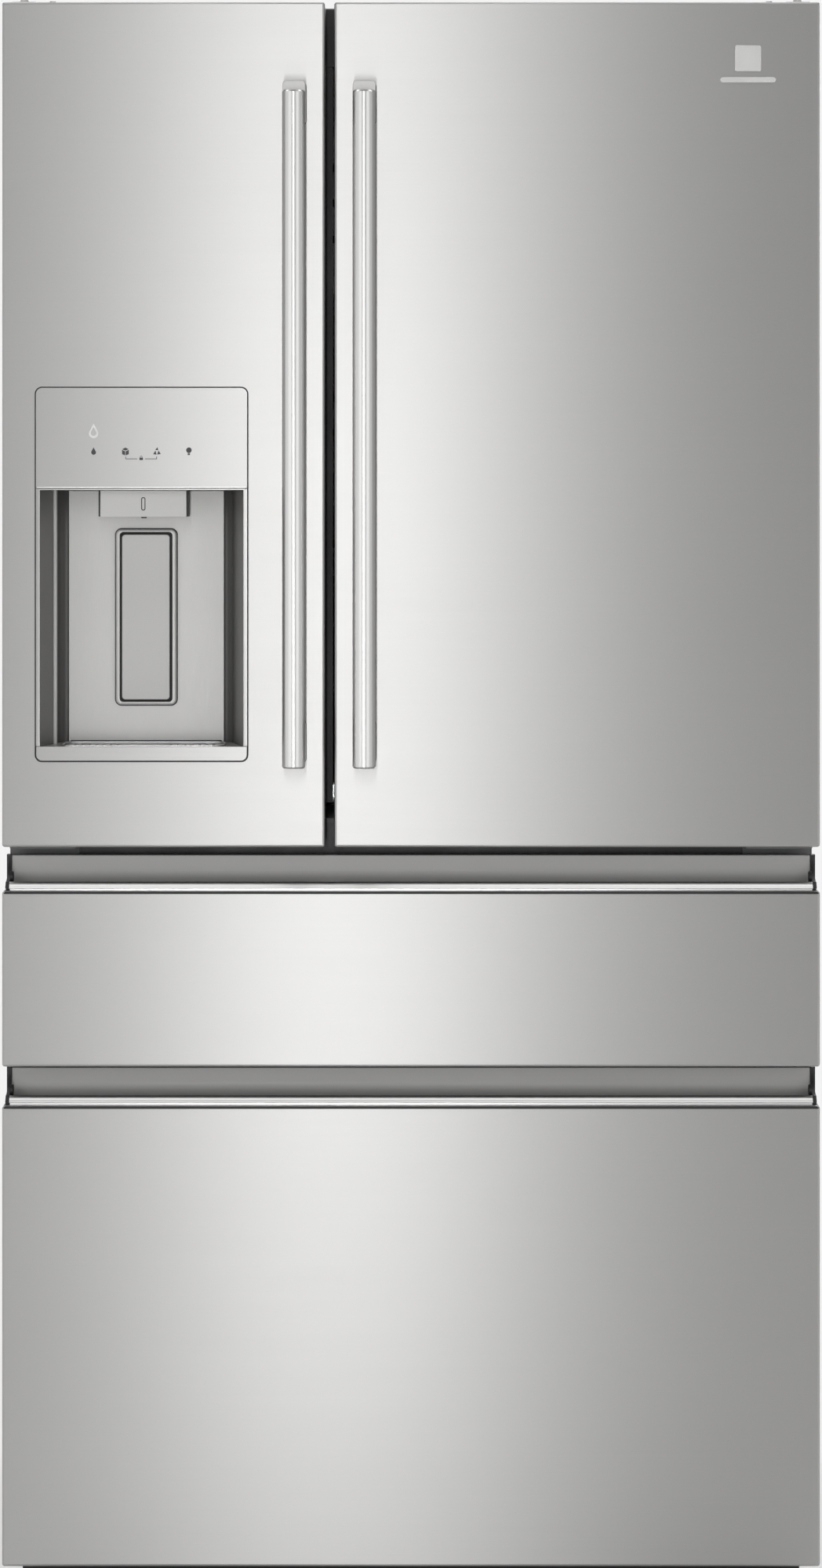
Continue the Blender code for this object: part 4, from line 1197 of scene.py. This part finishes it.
def add_hinge_details():
    """The heads of the top hinge pins, and a rib on each hinge cover."""
    for side, name in SIDES:
        low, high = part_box(f"hinge_top_{name}")
        stem = lathe("Z", (side * HINGE_X, FRONT_Y + HINGE_DEPTH, high.z - 0.0002),
                     [(0.0074, 0.0), (0.0074, 0.0008), (0.0052, 0.0012), (0.0052, 0.0030), (0.0044, 0.0036),
                      (0.0010, 0.0036)], 28)
        piece(stem, f"hinge_pin_head_{name}", "screw_steel", "cabinet", "galvanised")
        low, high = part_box(f"hinge_cover_{name}")
        middle = (low.x + high.x) / 2
        ridge = plate("X", [[(low.y + 0.012, low.z + 0.0085), (low.y + 0.070, low.z + 0.0148),
                             (low.y + 0.070, low.z + 0.0160), (low.y + 0.012, low.z + 0.0097)]],
                      around(middle, 0.0012), 0.0003)
        piece(ridge, f"hinge_cover_rib_{name}", "dark_plastic")


add_back_details()
add_machine_details()
add_hinge_details()


# Floor, light and camera


WORLD_LIGHT = 0.12
PALE = 0.90
CAMERA_PLACE = (0.0, -5.335, 1.238)
FLOOR_HALF = 14.0


def add_floor():
    """A pale floor that gives way to the plain surround far from the object."""
    tree, shader = finish("floor", (0.80, 0.795, 0.785), (0.55, 0.70), 0.012, (0.8, 0.8, 0.8), 30, 0.0002)
    pale = add_node(tree, "Emission")
    pale.inputs["Color"].default_value = (PALE, PALE, PALE, 1.0)
    paths = add_node(tree, "LightPath")
    choose = add_node(tree, "MixShader")
    reach = add_node(tree, "VectorMath")
    reach.operation = "LENGTH"
    link(tree, coordinates(tree, 1), reach.inputs[0])
    paler = remap(tree, reach.outputs["Value"], 0.6, 1.0, (1.4, 5.5))
    link(tree, multiply(tree, paths.outputs["Is Camera Ray"], paler), choose.inputs[0])
    link(tree, shader.outputs[0], choose.inputs[1])
    link(tree, pale.outputs[0], choose.inputs[2])
    link(tree, choose.outputs[0], tree.nodes["Material Output"].inputs["Surface"])
    bm = bmesh.new()
    bmesh.ops.create_grid(bm, x_segments=2, y_segments=2, size=FLOOR_HALF)
    floor = to_object("floor", bm)
    floor.data.materials.append(MATERIALS["floor"])


def add_world():
    """A plain soft studio surround, paler where it is seen than where it lights the object."""
    world = bpy.data.worlds.new("studio")
    world.use_nodes = True
    tree = world.node_tree
    tree.nodes.clear()
    output = add_node(tree, "OutputWorld")
    choose = add_node(tree, "MixShader")
    link(tree, add_node(tree, "LightPath").outputs["Is Camera Ray"], choose.inputs[0])
    for socket, tone, strength in ((choose.inputs[1], 1.0, WORLD_LIGHT), (choose.inputs[2], PALE, 1.0)):
        ground = add_node(tree, "Background")
        ground.inputs["Color"].default_value = (tone, tone, tone, 1.0)
        ground.inputs["Strength"].default_value = strength
        link(tree, ground.outputs[0], socket)
    link(tree, choose.outputs[0], output.inputs["Surface"])
    bpy.context.scene.world = world


def add_area(name, place, target, size, power):
    light = bpy.data.lights.new(name, "AREA")
    light.shape = "RECTANGLE"
    light.size, light.size_y = size
    light.energy = power
    made = add_object(name, light)
    made.location = place
    made.rotation_euler = (Vector(target) - Vector(place)).to_track_quat("-Z", "Y").to_euler()


def add_camera():
    camera = bpy.data.cameras.new("camera")
    camera.lens = 102.857
    camera.sensor_width = 36.0
    camera.shift_y = -0.190
    made = add_object("camera", camera)
    made.location = CAMERA_PLACE
    made.rotation_euler = (math.pi / 2, 0, 0)
    bpy.context.scene.camera = made


bpy.context.scene.view_settings.view_transform = "Standard"
add_floor()
add_world()
add_area("strip_low", (-0.18, -5.6, 0.72), (-0.18, 0, 0.72), (0.12, 1.36), 23)
add_area("strip_high", (-0.18, -5.6, 2.42), (-0.18, 0, 2.42), (0.12, 2.0), 13.5)
add_area("overhead", (0.0, -1.6, 4.4), (0.0, -0.2, 0.8), (3.4, 1.6), 20)
for hand, hand_name in SIDES:
    add_area(f"front_{hand_name}", (hand * 2.7, -4.6, 1.4), (0, -0.3, 1.0), (2.6, 2.8), 24)
    add_area(f"flank_{hand_name}", (hand * 4.1, -2.1, 1.3), (0, -0.3, 1.0), (3.2, 3.0), 20 if hand < 0 else 15)
    add_area(f"side_{hand_name}", (hand * 4.2, 2.4, 2.2), (0, 0.1, 0.9), (2.0, 3.0), 60)
add_area("behind", (0.6, 4.6, 2.6), (0, 0, 0.9), (3.0, 2.0), 50)
add_area("ceiling", (0.0, 3.4, 6.0), (0.0, 3.4, 0.0), (8.0, 5.0), 300)
add_camera()


# Nodes kept as the frame has them: a finish each, and softened edges


KEPT = {
    "grey_paint": ("cabinet_wrapper", "rear_panel", "hinge_mid_left", "hinge_mid_right"),
    "white_liner": ("cabinet_liner", "partition_upper", "partition_lower", "ice_maker"),
    "door_body": ("left_door_liner", "right_door_liner", "upper_drawer_body", "lower_drawer_body"),
    "seal_rubber": ("left_door_gasket", "right_door_gasket", "upper_drawer_gasket", "lower_drawer_gasket"),
    "dark_plastic": ("hinge_cover_left", "hinge_cover_right", "kick_plate", "power_inlet", "mullion_flap"),
    "tyre_grey": ("foot_left", "foot_right", "roller_left", "roller_right"),
    "black_paint": ("compressor", "condenser_fan"),
    "galvanised": (
        "hinge_top_left", "hinge_top_right", "base_pan", "machine_cover",
        "upper_drawer_rails", "lower_drawer_rails",
    ),
    "clear_plastic": (
        "left_door_bin", "right_door_bin_upper", "right_door_bin_lower", "upper_drawer_bin", "lower_drawer_bin",
        "crisper_left", "crisper_right",
    ),
    "glass": ("shelf_upper", "shelf_lower", "crisper_cover"),
}
SOFT_ANGLE = math.radians(50)
SOFT_EDGE = {"grey_paint": 0.0004, "white_liner": 0.0012, "door_body": 0.0008, "galvanised": 0.0003,
             "dark_plastic": 0.0006}


def keep_nodes():
    for material, names in KEPT.items():
        for name in names:
            node = NODES[name]
            if node.hide_render:
                continue
            dress(node, material)
            width = SOFT_EDGE.get(material)
            if width:
                soft = node.modifiers.new("soft edges", "BEVEL")
                soft.width = width
                soft.segments = 2
                soft.limit_method = "ANGLE"
                soft.angle_limit = SOFT_ANGLE
                soft.use_clamp_overlap = True
            weigh_normals(node)


keep_nodes()

bpy.context.view_layer.update()
